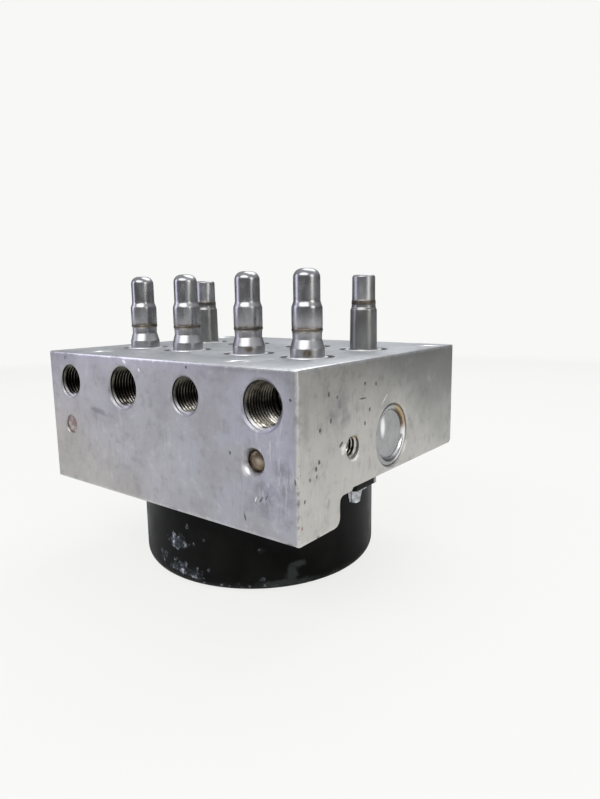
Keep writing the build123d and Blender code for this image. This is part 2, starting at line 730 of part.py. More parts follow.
# ---------------------------------------------------------------- motor
can_inner = CAN_RADIUS - CAN_WALL
end_plate_bottom = seat_z - END_PLATE_THICKNESS
front_bearing_top = seat_z + SPIGOT_HEIGHT
front_bearing_bottom = front_bearing_top - FRONT_BEARING_WIDTH
hub_bottom = front_bearing_bottom - BEARING_RACE / 2
magnet_inner = can_inner - MAGNET_THICKNESS
core_radius = magnet_inner - AIR_GAP
commutator_bottom = CORE_BOTTOM + CORE_LENGTH + END_TURN_LENGTH
commutator_top = commutator_bottom + COMMUTATOR_LENGTH
brush_plate_bottom = commutator_bottom + BRUSH_HEIGHT + STOP_GAP


def motor_can():
    """Deep-drawn steel can: ring-grooved base, rounded edge and a mouth with two ears."""
    groove_outer = CAN_RADIUS - CAN_BASE_ROUND - BASE_RIM_WIDTH
    base = turned([
        (0, 0),
        (BOSS_RADIUS, 0, BASE_GROOVE / 2),
        (BOSS_RADIUS + BASE_GROOVE / 2, BASE_GROOVE),
        (groove_outer - BASE_GROOVE / 2, BASE_GROOVE),
        (groove_outer, 0, BASE_GROOVE / 2),
        (CAN_RADIUS, 0, CAN_BASE_ROUND),
        (CAN_RADIUS, seat_z),
        (can_inner, seat_z),
        (can_inner, BASE_WALL, CAN_BASE_ROUND - BASE_WALL),
        (groove_outer + BASE_WALL, BASE_WALL),
        (groove_outer, BASE_GROOVE + BASE_WALL),
        (BOSS_RADIUS, BASE_GROOVE + BASE_WALL),
        (REAR_BUSH_RADIUS + SEAT_FIT, BASE_GROOVE + BASE_WALL),
        (REAR_BUSH_RADIUS + SEAT_FIT, BASE_WALL),
        (0, BASE_WALL),
    ])
    ears = extrude(Plane.XY.offset(seat_z - EAR_THICKNESS) * ear_outline(0), EAR_THICKNESS)
    ears = ears - rod(CAN_RADIUS - CAN_WALL, 0, top_z)
    holes = [Pos(x, y, 0) * rod(SCREW_RADIUS + MOVING_GAP, 0, top_z) for x, y in screw_places()]
    return base + ears - holes


def motor_end_plate():
    """Plate in the can's mouth whose hub carries the front bearing and centres the motor."""
    hub_wall = CRANK_CHAMBER_RADIUS
    plate = turned([
        (FRONT_BEARING_RADIUS + SEAT_FIT, hub_bottom),
        (hub_wall, hub_bottom),
        (hub_wall, end_plate_bottom),
        (can_inner - SEAT_FIT, end_plate_bottom),
        (can_inner - SEAT_FIT, seat_z),
        (CRANK_CHAMBER_RADIUS, seat_z),
        (CRANK_CHAMBER_RADIUS, seat_z + SPIGOT_HEIGHT),
        (FRONT_BEARING_RADIUS + SEAT_FIT, seat_z + SPIGOT_HEIGHT),
    ])
    lead_hole = Pos(0, LEAD_POST_Y, 0) * rod(LEAD_POST_RADIUS + SEAT_FIT, 0, top_z)
    return plate - lead_hole


def front_bearing_outer():
    inner = FRONT_BEARING_RADIUS - BEARING_RACE
    return tube(FRONT_BEARING_RADIUS, inner, front_bearing_bottom, front_bearing_top)


def front_bearing_inner():
    """Inner ring and shields, which reach to just short of the outer ring."""
    race = SHAFT_RADIUS + BEARING_RACE
    shield = FRONT_BEARING_RADIUS - BEARING_RACE - RUNNING_FIT
    bore = SHAFT_RADIUS + SEAT_FIT
    low, high = front_bearing_bottom, front_bearing_top
    inset = SEAT_FIT + RUNNING_FIT
    return turned([
        (bore, low),
        (race, low),
        (race, low + inset),
        (shield, low + inset),
        (shield, high - inset),
        (race, high - inset),
        (race, high),
        (bore, high),
    ])


def rear_bush():
    bore = REAR_JOURNAL_RADIUS + RUNNING_FIT
    return tube(REAR_BUSH_RADIUS, bore, BASE_WALL, BASE_WALL + REAR_BUSH_LENGTH)


def end_bush():
    bore = END_JOURNAL_RADIUS + RUNNING_FIT
    top = end_bush_top - STOP_GAP
    return tube(END_BUSH_RADIUS, bore, top - END_BUSH_LENGTH + STOP_GAP, top)


def field_magnets():
    """Magnet arcs glued to the can's wall."""
    ring = tube(can_inner - SEAT_FIT, magnet_inner, MAGNET_BOTTOM, MAGNET_BOTTOM + MAGNET_LENGTH)
    magnets = []
    for i in range(MAGNET_COUNT):
        middle = 360 / MAGNET_COUNT * i
        wedge = Rot(0, 0, middle) * sector(can_inner * 2, MAGNET_ARC)
        magnets.append(ring & wedge)
    return magnets


def sector(radius, angle):
    """A wedge of a circle about +X, as tall as the motor."""
    half = math.radians(angle / 2)
    corners = [(0, 0), (radius, -radius * math.tan(half)), (radius, radius * math.tan(half))]
    return extrude(make_face(Polyline(corners, close=True)), MOTOR_LENGTH)


def brush_plate():
    """Moulded plate that holds the brushes, with the post that leads the current upwards."""
    top = brush_plate_bottom + BRUSH_PLATE_THICKNESS
    inner = CRANK_CHAMBER_RADIUS + MOVING_GAP
    plate = tube(can_inner - SEAT_FIT, inner, brush_plate_bottom, top)
    post = Pos(0, LEAD_POST_Y, 0) * rod(LEAD_POST_RADIUS, top, top_z)
    for i in (-1, 1):
        slot = Box(TERMINAL_WIDTH, TERMINAL_THICKNESS, TERMINAL_LENGTH * 2)
        post -= Pos(i * TERMINAL_SPACING / 2, LEAD_POST_Y, top_z) * slot
    return plate + post


def terminals():
    """Contact blades in the lead post."""
    blade = Box(
        TERMINAL_WIDTH - SEAT_FIT * 2,
        TERMINAL_THICKNESS - SEAT_FIT * 2,
        TERMINAL_LENGTH - SEAT_FIT * 2,
    )
    middle = top_z - TERMINAL_LENGTH / 2
    return [Pos(i * TERMINAL_SPACING / 2, LEAD_POST_Y, middle) * blade for i in (-1, 1)]


def brushes():
    """Two carbon brushes, held against the commutator from opposite sides."""
    start = COMMUTATOR_RADIUS + RUNNING_FIT
    middle = start + BRUSH_LENGTH / 2
    height = commutator_bottom + BRUSH_HEIGHT / 2
    return [Pos(i * middle, 0, height) * Box(BRUSH_LENGTH, BRUSH_WIDTH, BRUSH_HEIGHT) for i in (-1, 1)]


def motor_shaft():
    """Shaft with the eccentric that drives the pistons and a journal at each end."""
    eccentric_low = front_bearing_top + STOP_GAP
    eccentric_high = eccentric_low + ECCENTRIC_LENGTH
    shaft = rod(REAR_JOURNAL_RADIUS, BASE_WALL + STOP_GAP, BASE_WALL + REAR_BUSH_LENGTH + STOP_GAP)
    shaft += rod(SHAFT_RADIUS, BASE_WALL + REAR_BUSH_LENGTH + STOP_GAP, eccentric_low)
    shaft += Pos(ECCENTRICITY, 0, 0) * rod(ECCENTRIC_RADIUS, eccentric_low, eccentric_high)
    shaft += rod(END_JOURNAL_RADIUS, eccentric_high, end_bush_top - STOP_GAP * 2)
    return shaft


def eccentric_ring():
    """Outer ring of the needle bearing that the pistons run on."""
    low, high = pump_z - RING_LENGTH / 2, pump_z + RING_LENGTH / 2
    return Pos(ECCENTRICITY, 0, 0) * tube(RING_RADIUS, ECCENTRIC_RADIUS + SEAT_FIT, low, high)


def rotor_slots(radius_in, low, high):
    """Slots for the winding, all round the rotor."""
    length = core_radius - radius_in + OVERCUT
    middle = radius_in + length / 2
    bar = Pos(middle, 0, (low + high) / 2) * Box(length, SLOT_WIDTH, high - low)
    return [Rot(0, 0, 360 / SLOT_COUNT * i) * bar for i in range(SLOT_COUNT)]


def rotor_core():
    """Slotted lamination stack."""
    top = CORE_BOTTOM + CORE_LENGTH
    stack = tube(core_radius, SHAFT_RADIUS + SEAT_FIT, CORE_BOTTOM, top)
    return stack - rotor_slots(core_radius - SLOT_DEPTH, CORE_BOTTOM - OVERCUT, top + OVERCUT)


def rotor_winding():
    """Copper in the slots, joined by the end turns."""
    top = CORE_BOTTOM + CORE_LENGTH
    inner = core_radius - SLOT_DEPTH
    outer = core_radius - SLOT_DEPTH / 4
    ends = tube(outer, inner, top, top + END_TURN_LENGTH)
    ends += tube(outer, inner, CORE_BOTTOM - END_TURN_LENGTH, CORE_BOTTOM)
    length = outer - inner
    bar = Box(length, SLOT_WIDTH - SEAT_FIT * 2, CORE_LENGTH)
    bar = Pos(inner + length / 2 + SEAT_FIT, 0, CORE_BOTTOM + CORE_LENGTH / 2) * bar
    for i in range(SLOT_COUNT):
        ends += Rot(0, 0, 360 / SLOT_COUNT * i) * bar
    return ends


def commutator():
    return tube(COMMUTATOR_RADIUS, SHAFT_RADIUS + SEAT_FIT, commutator_bottom, commutator_top)


def motor_screws():
    """Flange-head screws, heads down, with a socket."""
    face = seat_z - EAR_THICKNESS
    cone_top = -SCREW_FLANGE_THICKNESS
    head_end = cone_top - SCREW_CONE_HEIGHT - SCREW_HEAD_HEIGHT
    screw = turned([
        (0, SCREW_DEPTH + EAR_THICKNESS - STOP_GAP),
        (SCREW_RADIUS, SCREW_DEPTH + EAR_THICKNESS - STOP_GAP),
        (SCREW_RADIUS, 0),
        (SCREW_FLANGE_RADIUS, 0),
        (SCREW_FLANGE_RADIUS, cone_top),
        (SCREW_HEAD_RADIUS, cone_top - SCREW_CONE_HEIGHT),
        (SCREW_HEAD_RADIUS, head_end, MOVING_GAP),
        (SCREW_SOCKET_RADIUS, head_end),
        (SCREW_SOCKET_RADIUS, head_end + SCREW_SOCKET_DEPTH),
        (0, head_end + SCREW_SOCKET_DEPTH),
    ])
    return [Pos(x, y, face) * screw for x, y in screw_places()]


# ---------------------------------------------------------------- the nodes
def build_parts():
    nodes = {
        "valve_block": valve_block(),
        "ball_plugs": ball_plugs(),
        "motor_can": motor_can(),
        "motor_end_plate": motor_end_plate(),
        "motor_screws": motor_screws(),
        "front_bearing_outer": front_bearing_outer(),
        "front_bearing_inner": front_bearing_inner(),
        "rear_bush": rear_bush(),
        "end_bush": end_bush(),
        "field_magnets": field_magnets(),
        "brush_plate": brush_plate(),
        "brushes": brushes(),
        "terminals": terminals(),
        "motor_shaft": motor_shaft(),
        "eccentric_ring": eccentric_ring(),
        "rotor_core": rotor_core(),
        "rotor_winding": rotor_winding(),
        "commutator": commutator(),
    }
    rows = {
        "inlet": (inlet_row_y, {
            "body": inlet_body(), "dome": inlet_dome(), "armature": inlet_armature(),
        }, inlet_spring()),
        "outlet": (outlet_row_y, {
            "body": outlet_body(), "cap": outlet_cap(), "armature": outlet_armature(),
        }, outlet_spring()),
    }
    for row, (y, pieces, spring) in rows.items():
        places = [Pos(x, y, top_z) for x in valve_xs]
        for number, place in enumerate(places, start=1):
            for piece, shape in pieces.items():
                nodes[f"{row}_{piece}_{number}"] = place * shape
        nodes[f"{row}_springs"] = [place * spring for place in places]

    for side, sign in sides.items():
        pump = on_face(side, 0, pump_z)
        nodes[f"pump_cap_{side}"] = pump * pump_cap()
        nodes[f"pump_sleeve_{side}"] = pump * pump_sleeve()
        nodes[f"pump_piston_{side}"] = pump * pump_piston()
        nodes[f"pump_spring_{side}"] = pump * pump_spring()
        accumulator = on_face("back", sign * ACCUMULATOR_X, accumulator_z)
        nodes[f"accumulator_cap_{side}"] = accumulator * accumulator_cap()
        nodes[f"accumulator_piston_{side}"] = accumulator * accumulator_piston()
        nodes[f"accumulator_seal_{side}"] = accumulator * accumulator_seal()
        nodes[f"accumulator_spring_{side}"] = accumulator * accumulator_spring()
    return nodes


os.makedirs("parts", exist_ok=True)
for name, shape in build_parts().items():
    solids = shape if isinstance(shape, list) else [shape]
    if len(solids) > 1:
        export_step(Compound(children=[solid.solid() for solid in solids]), f"parts/{name}.step")
    else:
        export_step(solids[0].solid(), f"parts/{name}.step")
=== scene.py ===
import json
import math

import bmesh
import bpy
from mathutils import Matrix, Vector


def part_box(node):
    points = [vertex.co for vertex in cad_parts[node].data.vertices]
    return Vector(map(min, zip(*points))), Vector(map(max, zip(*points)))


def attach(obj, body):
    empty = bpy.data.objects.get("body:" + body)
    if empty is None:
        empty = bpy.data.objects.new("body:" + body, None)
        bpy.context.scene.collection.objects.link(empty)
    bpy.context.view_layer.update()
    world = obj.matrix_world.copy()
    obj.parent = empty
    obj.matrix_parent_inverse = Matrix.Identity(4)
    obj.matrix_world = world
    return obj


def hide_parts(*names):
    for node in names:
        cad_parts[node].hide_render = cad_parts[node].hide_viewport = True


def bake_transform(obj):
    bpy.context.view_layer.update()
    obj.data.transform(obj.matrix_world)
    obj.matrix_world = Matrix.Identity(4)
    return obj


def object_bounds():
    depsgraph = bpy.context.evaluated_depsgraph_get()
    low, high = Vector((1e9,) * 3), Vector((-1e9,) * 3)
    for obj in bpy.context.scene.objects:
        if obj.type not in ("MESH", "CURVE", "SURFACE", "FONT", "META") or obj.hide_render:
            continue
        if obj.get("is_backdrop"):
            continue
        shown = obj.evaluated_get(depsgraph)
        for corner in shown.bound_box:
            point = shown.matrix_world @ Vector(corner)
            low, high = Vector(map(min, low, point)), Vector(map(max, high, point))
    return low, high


# Hydraulic unit of an anti-lock brake system. Lengths are written in mm and turned into
# metres by MM where they meet Blender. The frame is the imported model's own: +X along the
# line ports, +Y from the port face to the back, +Z up.

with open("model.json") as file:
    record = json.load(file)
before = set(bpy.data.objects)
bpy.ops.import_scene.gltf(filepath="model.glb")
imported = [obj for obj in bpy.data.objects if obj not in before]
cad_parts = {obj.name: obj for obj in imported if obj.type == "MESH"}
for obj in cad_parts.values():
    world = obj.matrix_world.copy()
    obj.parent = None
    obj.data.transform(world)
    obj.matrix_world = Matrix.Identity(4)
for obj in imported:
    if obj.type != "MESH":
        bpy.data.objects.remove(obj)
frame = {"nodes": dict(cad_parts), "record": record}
cad_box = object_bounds()

MM = 0.001


# ---------------- sizes taken from the frame
def corners(node):
    """The lowest and the highest corner of a node's box, in mm."""
    return [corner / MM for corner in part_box(node)]


def middle(node):
    """The middle of a node's box, in mm."""
    low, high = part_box(node)
    return (low + high) / 2 / MM


def valve_places(kind):
    """The numbers of the four valves of a kind, each with its place on the top face."""
    for number in range(1, 5):
        yield number, (*middle(f"{kind}_{number}").xy, TOP)


SIDES = (("right", 1), ("left", -1))
block_low, block_high = corners("valve_block")
SIDE, FRONT, BACK, TOP = block_high.x, block_low.y, block_high.y, block_high.z
PORT_END_Z, SEAT_Z = block_low.z, corners("motor_can")[1].z
PUMP_Z = middle("pump_cap_right").z

# ---------------- sizes of the block
STEP_Y = FRONT + 16.6
SEAT_FRONT_Y = FRONT + 22.7
SEAT_SLOPE = 0.7
SEAT_MILLING = 0.8
STEP_OUTER_ROUND = 2.3
STEP_INNER_ROUND = 1.8
EDGE_BREAK = 0.5
BACK_ROUND = 1.6             # rounding of the edge between the seat and the back
CUT_OUT = 1.0                # how far a cutter stands out of the face that it cuts
CLOSE = 0.01                 # how near two heights or places are taken as the same
FIT = 0.02                   # between a pressed-in piece and its bore

PORT_Z = TOP - 8.9
PORT_XS = (-39.3, -13.1, 13.1, 39.3)
BACK_PORT_XS = (-38.0, 38.0)
FRONT_DRILLING = (1.5, 22.9)  # radius and depth of the drilling that a port leads to
BACK_DRILLING = (1.5, 27.0)
PLUG_Z = TOP - 22.7
PLUG_XS = (-40.4, 36.6)
# for each ball plug: the corners of its staked seat, then its crown's edge radius, edge height
# and middle height
PLUG_FORMS = (
    (((3.0, -0.5), (2.8, -0.3), (3.1, 0.0)), (2.9, -0.45, -0.12)),
    (((3.0, -1.55), (2.68, -1.3), (2.72, -1.15), (3.42, -0.12), (3.55, 0.0)), (2.9, -1.5, -0.75)),
)
BALL_RADIUS = 2.2
BRACKET_Y = FRONT + 22.55
BRACKET_Z = {"right": TOP - 21.9, "left": TOP - 15.2}
COVER_SCREWS = ((-31.1, FRONT + 6.7), (26.0, FRONT + 6.7), (-45.7, BACK - 9.0), (45.7, BACK - 9.0))
CRANK_RADIUS = 14.02
CRANK_TOP = SEAT_Z + 18.0
BUSH_RADIUS = 5.02
BUSH_TOP = SEAT_Z + 22.0
LEAD_POST_Y = 27.0
LEAD_HOLE_RADIUS = 4.4

# thread name: (core radius, major radius, mouth radius, pitch, drilled depth)
M12 = (5.46, 6.0, 6.6, 1.0, 13.0)
M10 = (4.46, 5.0, 5.45, 1.0, 13.0)
M6 = (2.5, 3.0, 3.2, 1.0, 10.0)
M4 = (1.65, 2.0, 2.2, 0.7, 8.0)
DRILL_POINT = math.tan(math.radians(59))
UNTHREADED = 1.5             # pitches between a thread's end and the drilled depth
MOUTH_SLOPE = 0.75           # depth of a mouth's chamfer for its width
CREST, ROOT = 0.16, 0.9      # widths of a ridge at its crest and root, in pitches

# ---------------- sizes of the valves, above the top face
COLLAR_RADIUS = 4.65
COLLAR_TOP = 2.5
NECK_RADIUS = 3.9
CAULK_RADIUS = 7.25
CAULK_DEPTH = 0.6
LIP_WIDTH = 1.1
INLET_WELD = 7.15            # height of the weld round an inlet valve's tube
OUTLET_WELD = 13.85          # height of the weld round an outlet valve's pole
VALVE_DEPTH = 12.0
VALVE_RADIUS = 4.52
NOSE_RADIUS = 3.22
NOSE_TOP = -8.5
VALVE_ROOT = (               # the part of a valve's body that is in the block
    (NOSE_RADIUS - FIT, -VALVE_DEPTH + 0.05), (NOSE_RADIUS - FIT, NOSE_TOP),
    (VALVE_RADIUS - FIT, NOSE_TOP), (VALVE_RADIUS - FIT, -LIP_WIDTH), (COLLAR_RADIUS, 0),
)
INNER, OUTER = (middle(f"{row}_body_{number}") for row, number in (("inlet", 3), ("outlet", 4)))
VALVE_MIDDLE_X, VALVE_HALF_PITCH_X = (INNER.x + OUTER.x) / 2, (OUTER.x - INNER.x) / 2
VALVE_MIDDLE_Y, VALVE_HALF_PITCH_Y = (INNER.y + OUTER.y) / 2, (OUTER.y - INNER.y) / 2

# ---------------- sizes of the caps, can and screws
PUMP_CAP_RADIUS = 8.9
CAP_LENGTH = 5.0
CAP_RECESS = 0.5
CAP_MOUTH_CHAMFER = 0.4
DISC_RADIUS = 6.1
DISH_RADIUS = 6.8
DISH_DEPTH = 0.75
SLEEVE_RADIUS = 7.02
ACCUMULATOR_XS = (-17.0, 17.0)
ACCUMULATOR_Z = TOP - 19.9
ACCUMULATOR_CAP_RADIUS = 10.8
ACCUMULATOR_CAP_LENGTH = 3.0
ACCUMULATOR_RADIUS = 9.5
ACCUMULATOR_DEPTH = 23.7
CAN_RADIUS = 37.3
CAN_WALL = 2.0
CAN_ROUND = 4.3
CAN_BASE = 1.6
GROOVE_RADIUS = 28.0
GROOVE_DEPTH = 2.0
EAR_RADIUS = 6.3
EAR_THICKNESS = 1.6
EAR_ROUND = 0.3
EAR = Vector((SIDE - 4.0, -13.7, SEAT_Z))
RELIEF_GAP = 1.0             # between the can with its ears and the relief milled round them
# steps of (inward, wider) from an ear's round end towards the can
RELIEF_NECKS = ((9.0, 1.0), (3.0, 1.25))
EAR_NECKS = ((4.0, 1.0), (3.0, 1.03), (1.6, 1.08), (1.2, 1.14), (1.0, 1.2))
# steps of (distance from the axis, drop) by which an ear's underside folds down to the can
EAR_FOLD = ((41.1, 0.15), (39.5, 0.45), (38.3, 0.9), (37.3, 1.6))


# ---------------- modelling tools
def only(piece):
    """Makes one piece the selected and active one."""
    bpy.ops.object.select_all(action="DESELECT")
    piece.select_set(True)
    bpy.context.view_layer.objects.active = piece


def edit(piece):
    """Goes into edit mode with everything selected."""
    only(piece)
    bpy.ops.object.mode_set(mode="EDIT")
    pick_all()


def done():
    bpy.ops.object.mode_set(mode="OBJECT")


def pick_all():
    bpy.ops.mesh.select_all(action="SELECT")


def done_facing_out():
    """Turns all faces outwards and leaves edit mode."""
    pick_all()
    bpy.ops.mesh.normals_make_consistent(inside=False)
    done()


def pick(piece, kind, wanted):
    """In edit mode, selects the vertices, edges or faces that pass a test, and no others."""
    bpy.ops.mesh.select_mode(type=kind)
    bpy.ops.mesh.select_all(action="DESELECT")
    mesh = bmesh.from_edit_mesh(piece.data)
    for element in {"VERT": mesh.verts, "EDGE": mesh.edges, "FACE": mesh.faces}[kind]:
        if wanted(element):
            element.select_set(True)
    bmesh.update_edit_mesh(piece.data)


def extrude(x, y, z):
    """Extrudes what is selected, by mm."""
    bpy.ops.mesh.extrude_region_move(TRANSFORM_OT_translate={"value": (x * MM, y * MM, z * MM)})


def sink(drop):
    """Moves what is selected down, by mm."""
    bpy.ops.transform.translate(value=(0, 0, -drop * MM))


def resize(x, y, z, centre):
    """Scales what is selected about a centre in mm."""
    bpy.ops.transform.resize(value=(x, y, z), center_override=[length * MM for length in centre])


def bevel(width, segments):
    bpy.ops.mesh.bevel(offset=width * MM, segments=segments, affect="EDGES")


def edge_middle(edge):
    return (edge.verts[0].co + edge.verts[1].co) / 2 / MM


def edge_at(place):
    """A test for the edge whose middle is at a place in mm."""
    return lambda edge: (edge_middle(edge) - Vector(place)).length < CLOSE


def settle(piece):
    """Puts a piece's place, turn and scale into its mesh."""
    only(piece)
    bpy.ops.object.transform_apply(location=True, rotation=True, scale=True)


def smooth(piece, angle=32):
    only(piece)
    bpy.ops.object.shade_smooth_by_angle(angle=math.radians(angle))


def primitive(name, add, **settings):
    """Starts a piece from a primitive, whose settings are in metres."""
    bpy.ops.object.select_all(action="DESELECT")
    add(**settings)
    piece = bpy.context.object
    piece.name = name
    settle(piece)
    return piece


def disc(name, radius, across, height, steps):
    return primitive(
        name, bpy.ops.mesh.primitive_circle_add, vertices=steps, radius=radius * MM,
        fill_type="NGON", location=(across * MM, 0, height * MM),
    )


def turned(name, rings, steps=64):
    """A solid turned about Z, from rings of (radius, height) in mm, each extruded from the last."""
    radius, height = rings[0]
    piece = disc(name, radius, 0, height, steps)
    edit(piece)
    for next_radius, next_height in rings[1:]:
        extrude(0, 0, next_height - height)
        size = next_radius / radius
        resize(size, size, 1, (0, 0, next_height))
        radius, height = next_radius, next_height
    done_facing_out()
    return piece


def arc(radius, height, size, start, end, steps=6):
    """Ring corners along a quarter or so of a circle: angles in degrees, 0 outwards and 90 up."""
    angles = [math.radians(start + (end - start) * i / steps) for i in range(steps + 1)]
    return [(radius + size * math.cos(a), height + size * math.sin(a)) for a in angles]


def shoulder(lower, upper, start, end, steps=9):
    """Ring corners of a drawn shoulder: a smooth curve from a wide tube in to a narrow one."""
    ease = [(1 - math.cos(math.pi * i / steps)) / 2 for i in range(steps + 1)]
    return [(lower + (upper - lower) * e, start + (end - start) * i / steps) for i, e in enumerate(ease)]


TURNS = {
    "up": Matrix(),
    "down": Matrix.Rotation(math.pi, 4, "X"),
    "front": Matrix.Rotation(math.pi / 2, 4, "X"),
    "back": Matrix.Rotation(-math.pi / 2, 4, "X"),
    "right": Matrix.Rotation(math.pi / 2, 4, "Y"),
    "left": Matrix.Rotation(-math.pi / 2, 4, "Y"),
}


def put(piece, place, towards="up"):
    """Turns a piece's +Z towards a face of the block and moves it to a place in mm."""
    piece.matrix_world = Matrix.Translation(Vector(place) * MM) @ TURNS[towards]
    settle(piece)
    return piece


def copy_of(piece, name):
    twin = piece.copy()
    twin.data = piece.data.copy()
    twin.name = name
    bpy.context.scene.collection.objects.link(twin)
    return twin


def apply(piece, kind, **settings):
    """Adds a modifier and applies it."""
    modifier = piece.modifiers.new(kind.lower(), kind)
    for setting, value in settings.items():
        setattr(modifier, setting, value)
    only(piece)
    bpy.ops.object.modifier_apply(modifier=modifier.name)


def wind(piece, pitch, turns, steps):
    """Winds a profile about Z, as a thread or a coil."""
    apply(piece, "SCREW", angle=math.tau, screw_offset=pitch * MM, iterations=turns,
          steps=steps, render_steps=steps, use_smooth_shade=False)


def cut(piece, cutter):
    apply(piece, "BOOLEAN", operation="DIFFERENCE", object=cutter, solver="EXACT")
    bpy.data.objects.remove(cutter)


def join(name, pieces):
    only(pieces[0])
    for piece in pieces:
        piece.select_set(True)
    bpy.ops.object.join()
    pieces[0].name = name
    return pieces[0]


# ---------------- the valve block
def milled_blank():
    """The blank with its thick port end, its seat for the motor and its broken edges."""
    size = Vector((2 * SIDE, BACK - FRONT, TOP - SEAT_Z))
    centre = Vector((0, (BACK + FRONT) / 2, (TOP + SEAT_Z) / 2))
    add = bpy.ops.mesh.primitive_cube_add
    blank = primitive("block", add, size=1, location=centre * MM, scale=size * MM)
    edit(blank)
    for y in (STEP_Y, SEAT_FRONT_Y - SEAT_SLOPE, SEAT_FRONT_Y):
        pick_all()
        bpy.ops.mesh.bisect(plane_co=(0, y * MM, 0), plane_no=(0, 1, 0))
    milled_z = SEAT_Z - SEAT_MILLING
    ahead = SEAT_FRONT_Y - SEAT_SLOPE / 2
    pick(blank, "VERT", lambda v: v.co.z / MM < SEAT_Z + CLOSE and v.co.y / MM < ahead)
    sink(SEAT_MILLING)
    pick(blank, "FACE", lambda f: f.normal.z < -0.9 and f.calc_center_median().y / MM < STEP_Y)
    extrude(0, 0, PORT_END_Z - milled_z)
    for place, rounding, segments in (
        ((0, STEP_Y, milled_z), STEP_INNER_ROUND, 6),
        ((0, STEP_Y, PORT_END_Z), STEP_OUTER_ROUND, 6),
        ((0, BACK, SEAT_Z), BACK_ROUND, 4),
    ):
        pick(blank, "EDGE", edge_at(place))
        bevel(rounding, segments)
    pick(blank, "EDGE", is_outer_edge)
    bevel(EDGE_BREAK, 3)
    done()
    return blank


def is_outer_edge(edge):
    """An edge of the top face, or an upright edge at a corner of the block."""
    along = (edge.verts[1].co - edge.verts[0].co).normalized()
    place = edge_middle(edge)
    at_side = abs(abs(place.x) - SIDE) < CLOSE
    at_end = min(abs(place.y - FRONT), abs(place.y - BACK)) < CLOSE
    at_top = abs(place.z - TOP) < CLOSE
    upright = abs(along.z) > 0.9
    return (at_top and (at_side or at_end)) or (upright and at_side and at_end)


def threaded_holes():
    """Every threaded hole: its thread, the drilling that it leads to, its place and its face."""
    for number, x in enumerate(PORT_XS):
        yield M12 if number % 2 else M10, FRONT_DRILLING, (x, FRONT, PORT_Z), "front"
    for x in BACK_PORT_XS:
        yield M10, BACK_DRILLING, (x, BACK, PORT_Z), "back"
    for side, sign in SIDES:
        yield M6, None, (sign * SIDE, BRACKET_Y, BRACKET_Z[side]), side
    for x, y in COVER_SCREWS:
        yield M4, None, (x, y, TOP), "up"


def threaded_bore(thread, drilling):
    """Cutter for a threaded hole, from its deepest end up to its chamfered mouth."""
    core, major, mouth, pitch, depth = thread
    thread_end = depth - UNTHREADED * pitch
    chamfer = mouth - major
    rings = [(0.05, -depth - core / DRILL_POINT)]
    if drilling:
        radius, end = drilling
        rings = [(radius, -end), (radius, -depth - (core - radius) / DRILL_POINT)]
    return turned("bore", [
        *rings, (core, -depth), (core, -thread_end - 0.5), (major, -thread_end),
        (major, -MOUTH_SLOPE * chamfer), (mouth - 0.4 * chamfer, -0.35 * chamfer),
        (mouth, 0), (mouth, CUT_OUT),
    ])


def thread_ridge(thread):
    """The thread that stands in a bore: a section screwed round the axis, with its ends run out."""
    core, major, mouth, pitch, depth = thread
    base = major + 2 * FIT
    top = -MOUTH_SLOPE * (mouth - major) - ROOT / 2 * pitch
    turns = int((depth - UNTHREADED * pitch + top) / pitch)
    bottom = top - turns * pitch
    bpy.ops.object.select_all(action="DESELECT")
    bpy.ops.mesh.primitive_plane_add(
        size=1, location=((core + base) / 2 * MM, 0, bottom * MM), rotation=(math.pi / 2, 0, 0)
    )
    ridge = bpy.context.object
    ridge.name = "thread"
    ridge.scale = ((base - core) * MM, ROOT * pitch * MM, 1)
    settle(ridge)
    edit(ridge)
    pick(ridge, "VERT", lambda v: v.co.x < (core + CLOSE) * MM)
    resize(1, 1, CREST / ROOT, (core, 0, bottom))
    pick_all()
    bpy.ops.mesh.delete(type="ONLY_FACE")
    done()
    wind(ridge, pitch, turns, 48)
    edit(ridge)
    bpy.ops.mesh.fill_holes(sides=4)
    run_out = (base - FIT) / core
    for end in (bottom, top):
        pick(ridge, "VERT", lambda v: abs(v.co.y) < 1e-6 and 0 < v.co.x < (core + CLOSE) * MM
             and abs(v.co.z / MM - end) < 0.3 * pitch)
        resize(run_out, run_out, 1, (0, 0, end))
    done_facing_out()
    smooth(ridge)
    return ridge


def valve_cutter():
    """Cutter for one valve's bore, its caulking recess and the lip squeezed against the collar."""
    lip, rim = COLLAR_RADIUS + LIP_WIDTH, CAULK_RADIUS + 0.12
    return turned("valve_bore", [
        (NOSE_RADIUS, -VALVE_DEPTH), (NOSE_RADIUS, NOSE_TOP),
        (VALVE_RADIUS, NOSE_TOP), (VALVE_RADIUS, -LIP_WIDTH),
        (COLLAR_RADIUS + FIT, 0), (COLLAR_RADIUS + 0.35, 0.06),
        (lip - 0.25, 0), (lip, -CAULK_DEPTH + 0.15), (lip + 0.1, -CAULK_DEPTH),
        (CAULK_RADIUS - 0.12, -CAULK_DEPTH), (CAULK_RADIUS, -CAULK_DEPTH + 0.12),
        (CAULK_RADIUS, -0.1), (rim, 0.02), (rim, CUT_OUT),
    ])


